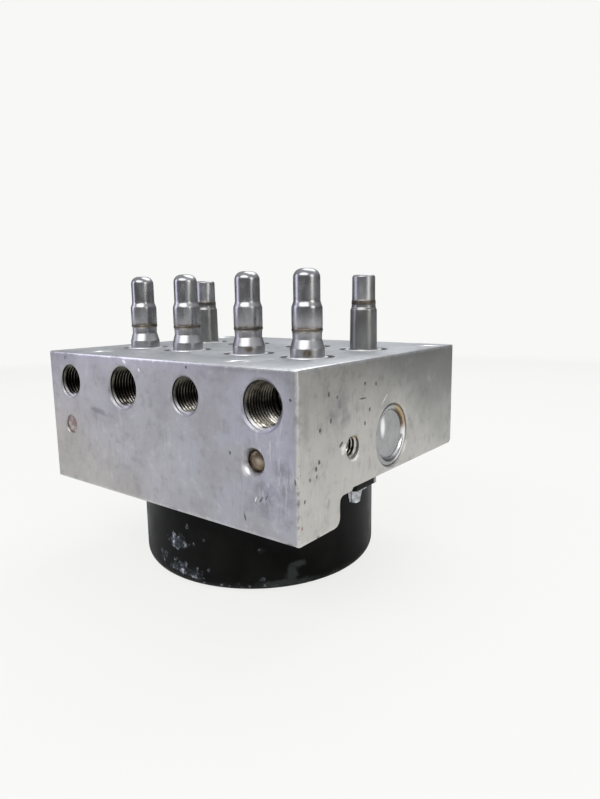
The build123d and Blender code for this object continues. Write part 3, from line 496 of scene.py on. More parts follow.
def ears(name, grown, low, high, necks, fold=()):
    """Both ears, half a turn apart: a round end, a neck that widens and an underside that folds."""
    reach = EAR.xy.length
    for half_turn in (0, math.pi):
        slab = disc(name, EAR_RADIUS + grown, reach, low, 48)
        edit(slab)
        extrude(0, 0, high - low)
        pick(slab, "FACE", lambda f: abs(f.normal.z) < 0.5 and f.normal.x < -0.02)
        row = reach
        for inward, wider in necks:
            row -= inward
            extrude(-inward, 0, 0)
            resize(0, wider, 1, (row, 0, 0))
        for distance, drop in fold:
            reached = (distance + CLOSE) * MM
            pick(slab, "VERT", lambda v: v.co.x < reached and v.co.z < (low + CLOSE) * MM)
            sink(drop)
        done_facing_out()
        for angle in (math.atan2(EAR.y, EAR.x), half_turn):
            slab.matrix_world = Matrix.Rotation(angle, 4, "Z")
            settle(slab)
        yield slab


def block_cutters():
    """Every hole in the block, as cutters in their places."""
    for thread, drilling, place, towards in threaded_holes():
        yield put(threaded_bore(thread, drilling), place, towards)
        if thread == M6:
            bore = cap_bore("pump_bore", PUMP_CAP_RADIUS, CAP_RECESS + CAP_LENGTH, SLEEVE_RADIUS, SIDE)
            yield put(bore, (place[0], 0, PUMP_Z), towards)
    for x, (staked, _) in zip(PLUG_XS, PLUG_FORMS):
        drilling = ((1.5, -39.0), (1.5, -5.2), (3.0, -4.4))
        plug_seat = turned("plug_seat", [*drilling, *staked, (staked[-1][0], CUT_OUT)], 48)
        yield put(plug_seat, (x, FRONT, PLUG_Z), "front")
    for x in ACCUMULATOR_XS:
        bore = cap_bore("accumulator_bore", ACCUMULATOR_CAP_RADIUS, ACCUMULATOR_CAP_LENGTH,
                        ACCUMULATOR_RADIUS, ACCUMULATOR_DEPTH)
        yield put(bore, (x, BACK, ACCUMULATOR_Z), "back")
    for kind in ("inlet_body", "outlet_body"):
        for _, place in valve_places(kind):
            yield put(valve_cutter(), place)
    relief = CAN_RADIUS + RELIEF_GAP
    yield turned("crank_chamber", [
        (relief, PORT_END_Z - 2 * CUT_OUT), (relief, SEAT_Z), (CRANK_RADIUS, SEAT_Z),
        (CRANK_RADIUS, CRANK_TOP), (BUSH_RADIUS, CRANK_TOP), (BUSH_RADIUS, BUSH_TOP),
    ], 96)
    yield from ears("relief", RELIEF_GAP, PORT_END_Z - CUT_OUT, SEAT_Z, RELIEF_NECKS)
    lead_hole = [(LEAD_HOLE_RADIUS, SEAT_Z - CUT_OUT), (LEAD_HOLE_RADIUS, TOP + CUT_OUT)]
    yield put(turned("lead_hole", lead_hole), (0, LEAD_POST_Y, 0))


def cap_bore(name, cap_radius, cap_depth, radius, depth):
    """Cutter for a bore whose cap sits in a wider, chamfered mouth."""
    mouth = cap_radius + FIT
    edge = mouth + CAP_MOUTH_CHAMFER
    return turned(name, [
        (radius, -depth), (radius, -cap_depth), (mouth, -cap_depth),
        (mouth, -CAP_MOUTH_CHAMFER), (edge, 0), (edge, CUT_OUT),
    ], 96)


def threads():
    """The ridges of all the threaded holes, joined to one piece."""
    return join("threads", [
        put(thread_ridge(thread), place, towards) for thread, _, place, towards in threaded_holes()
    ])


def valve_block():
    block = milled_blank()
    for cutter in block_cutters():
        cut(block, cutter)
    smooth(block)
    return block


# ---------------- the valves: rings of (radius, height above the top face)
def inlet_body():
    """Nose, caulked collar, cone and neck of a normally open valve."""
    return turned("inlet_body", [
        *VALVE_ROOT,
        *arc(COLLAR_RADIUS - 0.3, COLLAR_TOP - 0.3, 0.3, 0, 50, 3),
        *arc(NECK_RADIUS + 0.5, 4.75, 0.5, 220, 180, 3),
        (NECK_RADIUS + 0.05, 6.4),
    ])


def inlet_dome():
    """Drawn tube: flattened weld, barrel, shoulder, upper tube and crown."""
    lower, upper, crown, top = 4.12, 3.57, 2.4, 23.0
    return turned("inlet_dome", [
        (3.92, 6.1), (4.0, 6.5),
        *arc(lower - 0.22, INLET_WELD, 0.3, -45, 45, 4),
        (lower - 0.04, INLET_WELD + 0.45), (lower, INLET_WELD + 0.9),
        *shoulder(lower, upper, 12.7, 14.9),
        *arc(upper - crown, top - crown, crown, 0, 84, 12),
    ])


def outlet_body():
    """Caulked body and sleeve of a normally closed valve."""
    return turned("outlet_body", [
        *VALVE_ROOT, (4.25, 0.08), (4.1, 0.3),
        *shoulder(3.95, 3.6, 11.6, 12.7, 7),
        (3.58, 13.3),
    ])


def outlet_cap():
    """Fixed pole welded into the sleeve, with a broken edge and a centre mark."""
    lower, upper, top, edge = 3.62, 3.4, 22.0, 0.8
    return turned("outlet_cap", [
        (3.45, 13.1),
        *arc(lower - 0.28, OUTLET_WELD - 0.2, 0.3, -50, 40, 4),
        *arc(lower - 0.3, OUTLET_WELD + 0.35, 0.3, -30, 40, 4),
        (upper + 0.04, OUTLET_WELD + 1.1),
        *arc(upper - edge, top - edge, edge, 0, 90, 6),
        (0.9, top), (0.3, top - 0.35),
    ])


# ---------------- caps, plugs and springs: rings of (radius, height above the face)
def pump_cap():
    """Cap with a broad rounded ring round a flat disc."""
    ring_top, floor = -CAP_RECESS, -CAP_RECESS - DISH_DEPTH
    crest, curve = 8.1, 1.55
    return turned("pump_cap", [
        (PUMP_CAP_RADIUS - 0.1, ring_top - CAP_LENGTH + FIT),
        (PUMP_CAP_RADIUS, ring_top - CAP_LENGTH + 0.12),
        (PUMP_CAP_RADIUS, ring_top - 1.0),
        *arc(crest, ring_top - curve, curve, 59, 145, 10),
        *arc(DISC_RADIUS + 0.3, floor + 0.3, 0.3, 310, 270, 3),
        (DISC_RADIUS - 0.6, floor), (0.5, floor + 0.06),
    ], 96)


def accumulator_cap():
    ring_top = -CAP_RECESS
    return turned("accumulator_cap", [
        (ACCUMULATOR_CAP_RADIUS - 0.1, -ACCUMULATOR_CAP_LENGTH + FIT),
        (ACCUMULATOR_CAP_RADIUS, -ACCUMULATOR_CAP_LENGTH + 0.12),
        *arc(ACCUMULATOR_CAP_RADIUS - 0.6, ring_top - 0.6, 0.6, 0, 90),
        *arc(8.0, ring_top - 0.3, 0.3, 90, 40, 3),
        (6.1, ring_top - 1.1), (5.8, ring_top - 1.2), (0.5, ring_top - 1.2),
    ], 96)


def ball_plug(edge_radius, edge, crown):
    """Ball pressed into a drilling, its crown flattened by the punch that staked it."""
    rise = crown - edge
    curve = (edge_radius ** 2 + rise ** 2) / (2 * rise)
    spread = math.degrees(math.asin(edge_radius / curve))
    return turned("ball_plug", [
        *arc(0, edge - BALL_RADIUS, BALL_RADIUS, -80, -20, 4),
        (2.95, edge - 1.6),
        *arc(0, crown - curve, curve, 90 - spread, 89, 8),
    ], 48)


def coil_spring(name, length, radius, wire, turns):
    """A helical spring from the origin up Z, wound from a ring of wire and closed at both ends."""
    spring = primitive(
        name, bpy.ops.mesh.primitive_circle_add, vertices=10, radius=wire / 2 * MM,
        location=(radius * MM, 0, wire / 2 * MM), rotation=(math.pi / 2, 0, 0),
    )
    wind(spring, (length - wire) / turns, turns, 32)
    edit(spring)
    bpy.ops.mesh.fill_holes(sides=10)
    done_facing_out()
    smooth(spring, 50)
    return spring


# ---------------- the motor's can and screws
def motor_can():
    """Drawn can: boss, groove and rim in its base, rounded edge and open mouth."""
    boss, rim = 9.2, 0.8
    can = turned("motor_can", [
        (0.5, 0.0), (boss, 0.0),
        *arc(boss, rim, rim, 270, 330, 3),
        (11.0, GROOVE_DEPTH), (GROOVE_RADIUS - 1.0, GROOVE_DEPTH),
        *arc(GROOVE_RADIUS + 0.7, rim, rim, 210, 270, 3),
        *arc(CAN_RADIUS - CAN_ROUND, CAN_ROUND, CAN_ROUND, 270, 360, 10),
        (CAN_RADIUS, SEAT_Z - 0.3), (CAN_RADIUS - 0.3, SEAT_Z), (CAN_RADIUS - CAN_WALL, SEAT_Z),
        *arc(CAN_RADIUS - CAN_ROUND, CAN_ROUND, CAN_ROUND - CAN_BASE, 0, -90, 6),
        (GROOVE_RADIUS + 1.0, CAN_BASE), (GROOVE_RADIUS, GROOVE_DEPTH + CAN_BASE),
        (6.0, GROOVE_DEPTH + CAN_BASE), (6.0, CAN_BASE), (0.5, CAN_BASE),
    ], 128)
    pieces = [can]
    for ear in ears("ear", 0, SEAT_Z - EAR_THICKNESS, SEAT_Z, EAR_NECKS, EAR_FOLD):
        edit(ear)
        for sign in (1, -1):
            pick_all()
            bpy.ops.mesh.bisect(
                plane_co=(sign * SIDE * MM, 0, 0), plane_no=(sign, 0, 0), use_fill=True, clear_outer=True
            )
        done()
        apply(ear, "BEVEL", width=EAR_ROUND * MM, segments=3,
              limit_method="ANGLE", angle_limit=math.radians(50))
        pieces.append(ear)
    can = join("motor_can_shell", pieces)
    smooth(can, 40)
    return can


def motor_screw():
    """Flange-head screw, head down: six lobes that taper to a rounded end with a socket."""
    shank, flange, head, end, socket = 1.45, 3.45, 2.2, 1.7, 1.05
    cone_top, head_end = -1.6, -4.9
    screw = turned("motor_screw", [
        (shank, 10.55), (shank, 0.0), (flange - 0.05, 0.0), (flange, -0.1),
        *arc(flange - 0.15, -0.5, 0.15, 0, -50, 3),
        *arc(head + 0.4, cone_top, 0.4, 110, 180, 4),
        (end, head_end + 0.7),
        *arc(end - 0.6, head_end + 0.6, 0.6, -15, -90, 5),
        (socket + 0.1, head_end + 0.05), (socket, head_end + 0.2), (socket, head_end + 1.6),
        (0.2, head_end + 2.0),
    ], 48)
    lobe = math.tau / 6

    def in_flute(v):
        turn = math.atan2(v.co.y, v.co.x) % lobe
        on_head = head_end + 0.3 < v.co.z / MM < cone_top + 0.1 and v.co.xy.length / MM > 1.4
        return on_head and abs(turn - lobe / 2) < 0.225 * lobe

    edit(screw)
    pick(screw, "VERT", in_flute)
    resize(0.9, 0.9, 1, (0, 0, 0))
    done()
    return screw


# ---------------- materials
class Wire:
    """A shader value that Python's arithmetic can use: each operator adds a Math node."""

    def __init__(self, wiring, socket):
        self.wiring = wiring
        self.socket = socket

    def math(self, operation, first, second=0.0):
        return self.wiring.node("Math", {"operation": operation}, {0: first, 1: second})

    def __add__(self, other):
        return self.math("ADD", self, other)

    def __sub__(self, other):
        return self.math("SUBTRACT", self, other)

    def __mul__(self, other):
        return self.math("MULTIPLY", self, other)

    def __rsub__(self, other):
        return self.math("SUBTRACT", other, self)

    def __abs__(self):
        return self.math("ABSOLUTE", self)

    __radd__ = __add__
    __rmul__ = __mul__


class Wiring:
    """The nodes of a material or of the world in the making."""

    def __init__(self, tree):
        self.nodes = tree.nodes
        self.links = tree.links

    def plug(self, socket, value):
        if isinstance(value, Wire):
            self.links.new(value.socket, socket)
        elif isinstance(value, tuple) and len(value) == 3 and socket.type == "RGBA":
            socket.default_value = (*value, 1)
        else:
            socket.default_value = value

    def node(self, kind, settings=None, inputs=None, output=0):
        """Adds a node: its settings first, then its sockets' values or links; gives one output."""
        node = self.nodes.new("ShaderNode" + kind)
        for setting, value in (settings or {}).items():
            setattr(node, setting, value)
        for socket, value in (inputs or {}).items():
            self.plug(node.inputs[socket], value)
        return Wire(self, node.outputs[output])

    def step(self, value, low=0.3, high=0.7, bottom=0.0, top=1.0):
        """Smoothly from bottom to top as a value goes from low to high."""
        return self.node("MapRange", {"interpolation_type": "SMOOTHSTEP"}, {
            "Value": value, "From Min": low, "From Max": high, "To Min": bottom, "To Max": top,
        })

    def mix(self, first, second, share):
        return self.node("Mix", {"data_type": "RGBA"}, {0: share, 6: first, 7: second}, output=2)

    def tones(self, first, second, value, low=0.3, high=0.7):
        """From one tone to another as a value goes from low to high."""
        return self.mix(first, second, self.step(value, low, high))

    def coats(self, colour, *coats):
        """Lays coats over a colour, each a tone and the share of it that covers."""
        for tone, share in coats:
            colour = self.mix(colour, tone, share)
        return colour

    def most(self, first, *others):
        for other in others:
            first = self.node("Math", {"operation": "MAXIMUM"}, {0: first, 1: other})
        return first

    def least(self, first, *others):
        for other in others:
            first = self.node("Math", {"operation": "MINIMUM"}, {0: first, 1: other})
        return first

    def vector(self, operation, first, second):
        return self.node("VectorMath", {"operation": operation}, {0: first, 1: second})

    def length(self, vector):
        return self.node("VectorMath", {"operation": "LENGTH"}, {0: vector}, output="Value")

    def distance(self, across, along):
        """How far a place is from an axis, from its distances across and along."""
        return self.length(self.node("CombineXYZ", inputs={0: across, 1: along}))


class Finish(Wiring):
    """A material in the making: what its nodes work out goes to the shader's sockets."""

    def __init__(self, name, **uniform):
        self.material = bpy.data.materials.new(name)
        self.material.use_nodes = True
        super().__init__(self.material.node_tree)
        self.shader = self.nodes["Principled BSDF"]
        self.feed(**uniform)
        object_place = self.node("TexCoord", output="Object")
        self.place = self.node("VectorMath", {"operation": "SCALE"}, {0: object_place, "Scale": 1 / MM})
        self.x, self.y, self.z = (
            self.node("SeparateXYZ", inputs={0: self.place}, output=axis) for axis in "XYZ"
        )

    def noise(self, size, stretch=(1, 1, 1), detail=3.0, rough=0.5, shift=0.0):
        """Noise about 0.5 whose lumps are size mm across, longer along the axes that are stretched."""
        scale = tuple(1 / (size * s) for s in stretch)
        place = self.node("Mapping", {"vector_type": "POINT"}, {
            "Vector": self.place, "Scale": scale, "Location": (shift, shift * 1.7, shift * 0.6),
        })
        return self.node("TexNoise", inputs={
            "Vector": place, "Scale": 1.0, "Detail": detail, "Roughness": rough,
        })

    def specks(self, spacing, radius, share):
        """Small round specks, spacing mm apart, at a share of the places where one could be."""
        cells = {"Vector": self.place, "Scale": 1 / spacing}
        near = self.node("TexVoronoi", inputs=cells, output="Distance")
        chance = self.node("TexVoronoi", inputs=cells, output="Color")
        chance = self.node("SeparateXYZ", inputs={0: chance}, output="X")
        round_speck = self.step(near, radius / spacing, 0.5 * radius / spacing)
        return round_speck * self.step(chance, share, share - 0.02)

    def spot(self, middle, size, soft=0.5, ragged=0.0):
        """1 within a spot of the given sizes along X, Y and Z in mm, fading to 0 past its edge."""
        near = self.vector("SUBTRACT", self.place, middle)
        near = self.vector("MULTIPLY", near, tuple(2 / length for length in size))
        return self.step(self.length(near) + ragged, 1 + soft, 1 - soft)

    def scratch(self, start, end, width, soft=0.5, ragged=0.0):
        """1 along a straight scratch between two places in mm."""
        along = Vector(end) - Vector(start)
        near = self.vector("SUBTRACT", self.place, (Vector(end) + Vector(start)) / 2)
        dot = {0: near, 1: along.normalized()}
        run = self.node("VectorMath", {"operation": "DOT_PRODUCT"}, dot, output="Value")
        reach = self.length(near)
        off = reach * reach - run * run
        ellipse = run * run * (4 / along.length_squared) + off * (4 / width ** 2)
        return self.step(ellipse + ragged, 1 + soft, 1 - soft)

    def bump(self, height, depth):
        """Feeds the shader's normal from a height of 0 to 1 that is depth mm deep."""
        normal = self.node("Bump", inputs={"Height": height, "Distance": depth * MM}, output="Normal")
        self.feed(Normal=normal)

    def feed(self, **sockets):
        for socket, value in sockets.items():
            self.plug(self.shader.inputs[socket.replace("_", " ")], value)
        return self.material


# knocks on the right side, (y, z), and on the port face, (x, z)
SIDE_PITS = (
    (-31.0, 59.5), (-27.6, 58.4), (-14.9, 60.2), (-9.4, 59.6), (-12.4, 53.1), (-30.2, 53.0), (-34.7, 51.6),
    (-14.8, 49.8), (-35.1, 44.1), (-36.3, 42.7), (-38.7, 40.7), (-36.0, 40.7), (-40.7, 36.0),
)
FACE_PITS = ((14.4, 64.8), (29.0, 44.8), (-41.2, 64.6), (48.0, 59.6), (41.4, 54.4))
# scratches on the port face and on the right side: where each starts and ends, and its width
DARK_SCRATCHES = (
    ((38.4, FRONT, 34.3), (39.3, FRONT, 35.6), 0.45),
    ((40.1, FRONT, 34.9), (40.9, FRONT, 36.4), 0.35),
    ((33.0, FRONT, 30.6), (33.6, FRONT, 28.6), 0.45),
    ((48.9, FRONT, 41.8), (49.3, FRONT, 40.2), 0.4),
    ((SIDE, -26.6, 45.9), (SIDE, -25.0, 47.0), 0.8),
    ((SIDE, -17.6, 56.5), (SIDE, -13.9, 56.3), 0.4),
)
BRIGHT_SCRATCHES = (
    ((SIDE, -5.9, 53.6), (SIDE, -3.4, 55.8), 0.5),
    ((-12.0, FRONT, 65.3), (-10.6, FRONT, 64.6), 0.9),
    ((-5.2, FRONT, 63.4), (-4.6, FRONT, 62.5), 0.6),
    ((37.3, FRONT, 35.4), (36.7, FRONT, 33.8), 0.35),
)
BARE = (0.92, 0.92, 0.92)    # freshly cut or rubbed metal


def machined_aluminium():
    """Milled aluminium, stained and knocked about, with painted light and shade: a lit tone for each face,
    painted highlights over the wear along its edges, and painted shade in its bores and caulking recesses
    with painted light on the bores' lower lips.
    """
    finish = Finish("machined_aluminium", Metallic=1.0)
    step, spot, scratch, tones = finish.step, finish.spot, finish.scratch, finish.tones
    x, y, z, most, least = finish.x, finish.y, finish.z, finish.most, finish.least

    # where on the block a place is
    from_side = SIDE - abs(x)
    from_end = least(y - FRONT, BACK - y)
    from_top = TOP - z
    from_rim = least(from_top, z - PORT_END_Z)
    in_bore = least(from_side, from_end, from_top, z - SEAT_Z)
    from_edge = least(most(from_side, from_end), most(from_end, from_rim), most(from_side, from_rim))
    on_front = step(y, FRONT + 1.0, FRONT + 0.3)
    on_right = step(x, SIDE - 1.0, SIDE - 0.3)
    on_top = step(from_top, 1.0, 0.3)
    bracket = Vector((SIDE, BRACKET_Y, BRACKET_Z["right"]))
    on_bracket = spot(bracket, (24, 8, 8), 0.15)
    from_valve = finish.distance(
        abs(abs(x) - VALVE_MIDDLE_X) - VALVE_HALF_PITCH_X,
        abs(y - VALVE_MIDDLE_Y) - VALVE_HALF_PITCH_Y,
    )
    lip = step(from_valve, COLLAR_RADIUS + LIP_WIDTH + 0.2, COLLAR_RADIUS + LIP_WIDTH - 0.2)
    recess = step(from_valve, CAULK_RADIUS + 0.1, CAULK_RADIUS - 0.2)

    cloud = finish.noise(13, detail=4)
    mottle = finish.noise(3.2, detail=5, rough=0.62, shift=3.0)
    streak = finish.noise(0.5, stretch=(1, 1, 14), detail=2)
    grain = finish.noise(0.3, detail=2)
    ragged = (finish.noise(0.9, detail=3) - 0.5) * 2.5

    # the tone of each face, as painted light and shade: the port face cool above and to the right, with a
    # cooler patch there, and warm low on the left; the right side lighter low and to the front, darker high
    # and to the back
    cool_painted_light = tones((0.36, 0.353, 0.37), (0.46, 0.455, 0.473), cloud)
    warm_painted_light = tones((0.385, 0.368, 0.345), (0.46, 0.443, 0.415), cloud)
    cool = spot((40, FRONT, 46), (50, 8, 44), 0.9) * step(cloud, 0.35, 0.6)
    cool_painted_light = finish.mix(cool_painted_light, (0.40, 0.40, 0.47), cool * 0.8)
    front = tones(cool_painted_light, warm_painted_light, z * 1.4 + x + cloud * 30, 66, 22)
    right = tones((0.55, 0.535, 0.50), (0.335, 0.338, 0.315), y * 0.5 + z + cloud * 22, 55, 84)
    colour = finish.coats(
        tones((0.46, 0.46, 0.465), (0.56, 0.56, 0.56), cloud),
        # painted light: each face takes its own lit tone, the top a lighter bluish one
        (front, on_front),
        (right, on_right),
        ((0.62, 0.64, 0.655), on_top * 0.8),
        ((0.26, 0.257, 0.262), step(mottle, 0.50, 0.75) * 0.5),
        ((0.64, 0.64, 0.65), step(mottle, 0.45, 0.28) * 0.3),
        ((0.27, 0.27, 0.285), step(streak, 0.54, 0.75) * 0.35),
        # painted shade in the caulking recess round each valve
        ((0.30, 0.30, 0.29), recess * on_top * 0.7),
        ((0.88, 0.89, 0.90), lip * on_top),
        (BARE, most(*(spot((*place, TOP), (6.2, 6.2, 2.5), 0.25) for place in COVER_SCREWS))),
    )

    # stains, wear with painted highlights along the edges, knocks and scratches
    smudges = most(
        scratch((-28.6, FRONT, 49.8), (-18.6, FRONT, 48.7), 1.7, 0.9) * step(mottle, 0.3, 0.6),
        spot((40.6, FRONT, 35.6), (9, 4, 9), 0.9) * step(mottle, 0.35, 0.6),
        spot((45.5, FRONT, 37.5), (6, 4, 13), 0.9) * step(mottle, 0.35, 0.65),
        spot((SIDE, -26.5, 54.5), (4, 9, 9), 0.9) * step(mottle, 0.3, 0.6) * 0.8,
        spot((SIDE, -40.0, 53.7), (4, 2, 8), 0.9) * 0.5,
        spot((7.7, 1.2, TOP), (2.0, 2.6, 1), 0.4),
    )
    # wear along the edges, brightened as a painted highlight, faint on the lower part
    wear_and_edge_highlight = step(from_edge + (mottle - 0.5) * 2.0 + ragged * 0.25, 0.75, 0.25)
    wear_and_edge_highlight = wear_and_edge_highlight * (1 - step(z, 61, 52) * 0.75)
    bruised = step(from_edge + ragged * 0.4, 0.6, 0.1) * step(z, 50, 40)
    pits = most(
        finish.specks(4.5, 0.2, 0.35) * 0.7,
        *(spot((SIDE, *place), (1, 0.75, 1.1), 0.5, ragged) for place in SIDE_PITS),
        *(spot((across, FRONT, up), (0.6, 1, 0.7), 0.5, ragged) for across, up in FACE_PITS),
        *(scratch(*ends, 0.5, ragged) for ends in DARK_SCRATCHES),
        bruised * step(mottle, 0.50, 0.60) * step(x, SIDE - 5, SIDE - 3) * 0.7,
    )
    rubbed = spot((43.0, FRONT, 46.0), (13, 4, 24), 0.6)
    rubbed = rubbed * step(finish.noise(0.9, stretch=(1, 1, 6), shift=5.0), 0.57, 0.66)
    bared = most(*(scratch(*ends, 0.5, ragged) for ends in BRIGHT_SCRATCHES))
    rust = spot((SIDE, -41.9, 29.9), (1, 0.6, 0.9))
    # a bright burr in front of the bracket's hole, and a painted highlight on the lower chamfer of its
    # mouth
    burr_and_chamfer_highlight = most(
        spot(bracket + Vector((0, -4.3, 0.4)), (3, 1.8, 2.2), 0.5, ragged),
        spot(bracket + Vector((-0.5, 0.8, -2.9)), (3, 3.6, 1.6), 0.4, ragged * 0.5),
    )
    tan = spot(bracket + Vector((-1.2, 1.3, 1.7)), (4, 2.8, 3.0), 0.4, ragged * 0.4)

    # the bores: painted shade in the upper part of each bore and deep down, and painted light on the lower
    # lip of each port and in the bracket's hole
    upper_rim = step(z, PORT_Z - 3, PORT_Z + 1) * (1 - on_bracket)
    bored = step(in_bore + upper_rim * 0.5, 0.5, 1.7)
    # painted shade: dark tones for the bores, and painted light: bright tones for their lower lips
    painted_bore_shade = tones((0.025, 0.022, 0.018), (0.11, 0.10, 0.08), mottle, 0.35, 0.7)
    painted_bore_light = tones((0.10, 0.09, 0.075), (0.66, 0.64, 0.58), mottle, 0.42, 0.56)
    below_ports = step(z + (mottle - 0.5) * 8, PORT_Z - 1.8, PORT_Z - 5.6)
    lit = most(below_ports * step(z, PORT_Z - 9, PORT_Z - 8), on_bracket * 0.9)
    # painted highlight low on the left of the right ball plug's mouth
    plug_mouth_highlight = spot((PLUG_XS[1] - 2.4, FRONT, PLUG_Z - 1.9), (2.6, 1.2, 3.4), 0.5)

    colour = finish.coats(
        colour,
        ((0.15, 0.15, 0.18), smudges * 0.5),
        ((0.84, 0.84, 0.84), wear_and_edge_highlight * 0.7),
        ((0.09, 0.085, 0.08), pits * 0.85),
        ((0.70, 0.70, 0.73), rubbed * 0.35),
        (BARE, bared * 0.8),
        ((0.30, 0.10, 0.07), rust * 0.7),
        ((0.95, 0.95, 0.93), burr_and_chamfer_highlight * 0.85),
        ((0.42, 0.32, 0.19), tan * 0.7),
        (finish.mix(painted_bore_shade, painted_bore_light, lit), bored),
        # painted shade deep in the bores
        ((0.012, 0.011, 0.010), step(in_bore, 6, 13) * (1 - on_bracket) * 0.85),
        ((0.85, 0.84, 0.82), plug_mouth_highlight * 0.7),
    )
    rough = step(cloud * 0.5 + grain * 0.5, 0.35, 0.65, 0.38, 0.48)
    finish.bump(grain * 0.2 + streak * 0.25 + mottle * 0.55 - pits * 1.5, 0.05)
    return finish.feed(Base_Color=colour, Roughness=rough - wear_and_edge_highlight * 0.1 - bored * 0.2)


def plain_metal(name, dark, light, rough, metallic=1.0):
    """A metal with soft clouds of two tones and a fine grain."""
    finish = Finish(name, Metallic=metallic)
    cloud = finish.noise(2.0)
    grain = finish.noise(2.0 / 12)
    finish.bump(grain, 0.01)
    rough = finish.step(grain, 0.2, 0.8, rough - 0.06, rough + 0.06)
    return finish.feed(Base_Color=finish.tones(dark, light, cloud), Roughness=rough)


def behind_inlets(finish):
    """0 on the row of inlet valves and 1 on the row of outlet valves."""
    return finish.step(finish.y, -5.0, 0.0)


def stainless_tube():
    """Drawn stainless tube, faintly lined along its length, with the heat of the weld round it."""
    finish = Finish("stainless_tube", Metallic=1.0)
    step, tones = finish.step, finish.tones
    above = finish.z - TOP
    cloud = finish.noise(3.5, stretch=(1, 1, 2), detail=3)
    line = finish.noise(0.35, stretch=(1, 1, 25), detail=2)
    uneven = finish.noise(2.4)
    row = behind_inlets(finish)
    from_weld = abs(above - INLET_WELD - row * (OUTLET_WELD - INLET_WELD))
    bead = step(from_weld - row * 0.25 + uneven * 0.6, 1.0, 0.45)
    burnt = tones((0.028, 0.020, 0.018), (0.12, 0.09, 0.055), uneven, 0.42, 0.62)
    colour = finish.coats(
        tones((0.32, 0.32, 0.33), (0.46, 0.46, 0.47), cloud),
        ((0.22, 0.22, 0.22), step(line, 0.55, 0.8) * 0.4),
        ((0.24, 0.20, 0.14), step(from_weld + cloud * 0.6, 2.0, 0.6) * 0.45),
        (burnt, bead * 0.8),
    )
    finish.bump(line * 0.6 + cloud * 0.4, 0.012)
    rough = step(cloud, bottom=0.22, top=0.30)
    return finish.feed(Base_Color=colour, Roughness=rough + bead * 0.15 + row * 0.08)


def turned_steel():
    """Turned valve steel: fine rings round it, stains of oil on two collars."""
    finish = Finish("turned_steel", Metallic=1.0)
    step, tones, spot = finish.step, finish.tones, finish.spot
    cloud = finish.noise(3.5, stretch=(1, 1, 2.5), detail=3)
    ring = finish.noise(0.35, stretch=(30, 30, 1), detail=1)
    row = behind_inlets(finish)
    front_row = tones((0.33, 0.33, 0.335), (0.46, 0.46, 0.47), cloud)
    back_row = tones((0.25, 0.25, 0.245), (0.34, 0.34, 0.33), cloud)
    stains = finish.most(
        spot((36.7, -21.5, TOP + 1.3), (2.4, 2.4, 1.9), 0.5) * step(cloud, 0.35, 0.5),
        spot((16.1, -21.2, TOP + 1.5), (2.0, 2.0, 1.5), 0.6) * step(cloud, 0.4, 0.6),
    )
    colour = finish.coats(
        front_row,
        (back_row, row),
        ((0.12, 0.085, 0.03), stains * 0.85),
        ((0.03, 0.03, 0.03), spot((17.4, -20.2, TOP + 1.5), (0.8, 0.8, 0.8))),
    )
    finish.bump(ring * 0.4 + cloud * 0.6, 0.008)
    rough = step(cloud, bottom=0.27, top=0.35) + row * 0.02
    return finish.feed(Base_Color=colour, Roughness=rough + stains * 0.2)


def plug_steel():
    """Pressed steel caps: smooth disc, rings of the press, rust where the right one meets its bore, painted
    highlights on the right pump cap and painted shade in the front half of its joint.
    """
    finish = Finish("plug_steel", Metallic=1.0)
    step, tones, spot = finish.step, finish.tones, finish.spot
    cloud = finish.noise(3.0, detail=4)
    fine = finish.noise(0.4, detail=2)
    from_axis = finish.distance(finish.y, finish.z - PUMP_Z)
    on_pump = step(finish.x, SIDE - 8, SIDE - 6)
    on_ring = step(from_axis, DISC_RADIUS + 0.4, DISH_RADIUS) * on_pump
    corner = spot((SIDE, 5.2, PUMP_Z + 3.6), (8, 8.5, 11.5), 0.35)
    rust = tones((0.07, 0.04, 0.022), (0.46, 0.34, 0.19), from_axis + fine * 0.8, 7.5, 8.3)
    # painted highlights on the right pump cap's ring and disc
    painted_highlights = finish.most(
        spot((SIDE, 5.0, PUMP_Z - 5.8), (6, 5.5, 6.5), 0.5) * on_ring,
        spot((SIDE, -3.4, PUMP_Z + 2.6), (6, 2.4, 5.6), 0.5),
        spot((SIDE, 7.6, PUMP_Z - 2.5), (6, 3.0, 7.0), 0.5) * on_ring,
    )
    # painted shade in the joint round the right pump cap, on its front half only
    joint_with_painted_shade = step(from_axis, PUMP_CAP_RADIUS - 0.4, PUMP_CAP_RADIUS - 0.1)
    colour = finish.coats(
        tones((0.28, 0.28, 0.276), (0.37, 0.37, 0.366), cloud),
        (rust, on_ring * corner * step(cloud, 0.25, 0.45) * 0.9),
        ((0.97, 0.97, 0.97), painted_highlights * 0.9),
        ((0.10, 0.095, 0.09), joint_with_painted_shade * step(finish.y, 1, -4) * on_pump * 0.8),
    )
    finish.bump(fine * 0.3 + cloud * 0.7, 0.02)
    return finish.feed(Base_Color=colour, Roughness=step(cloud, bottom=0.20, top=0.30))


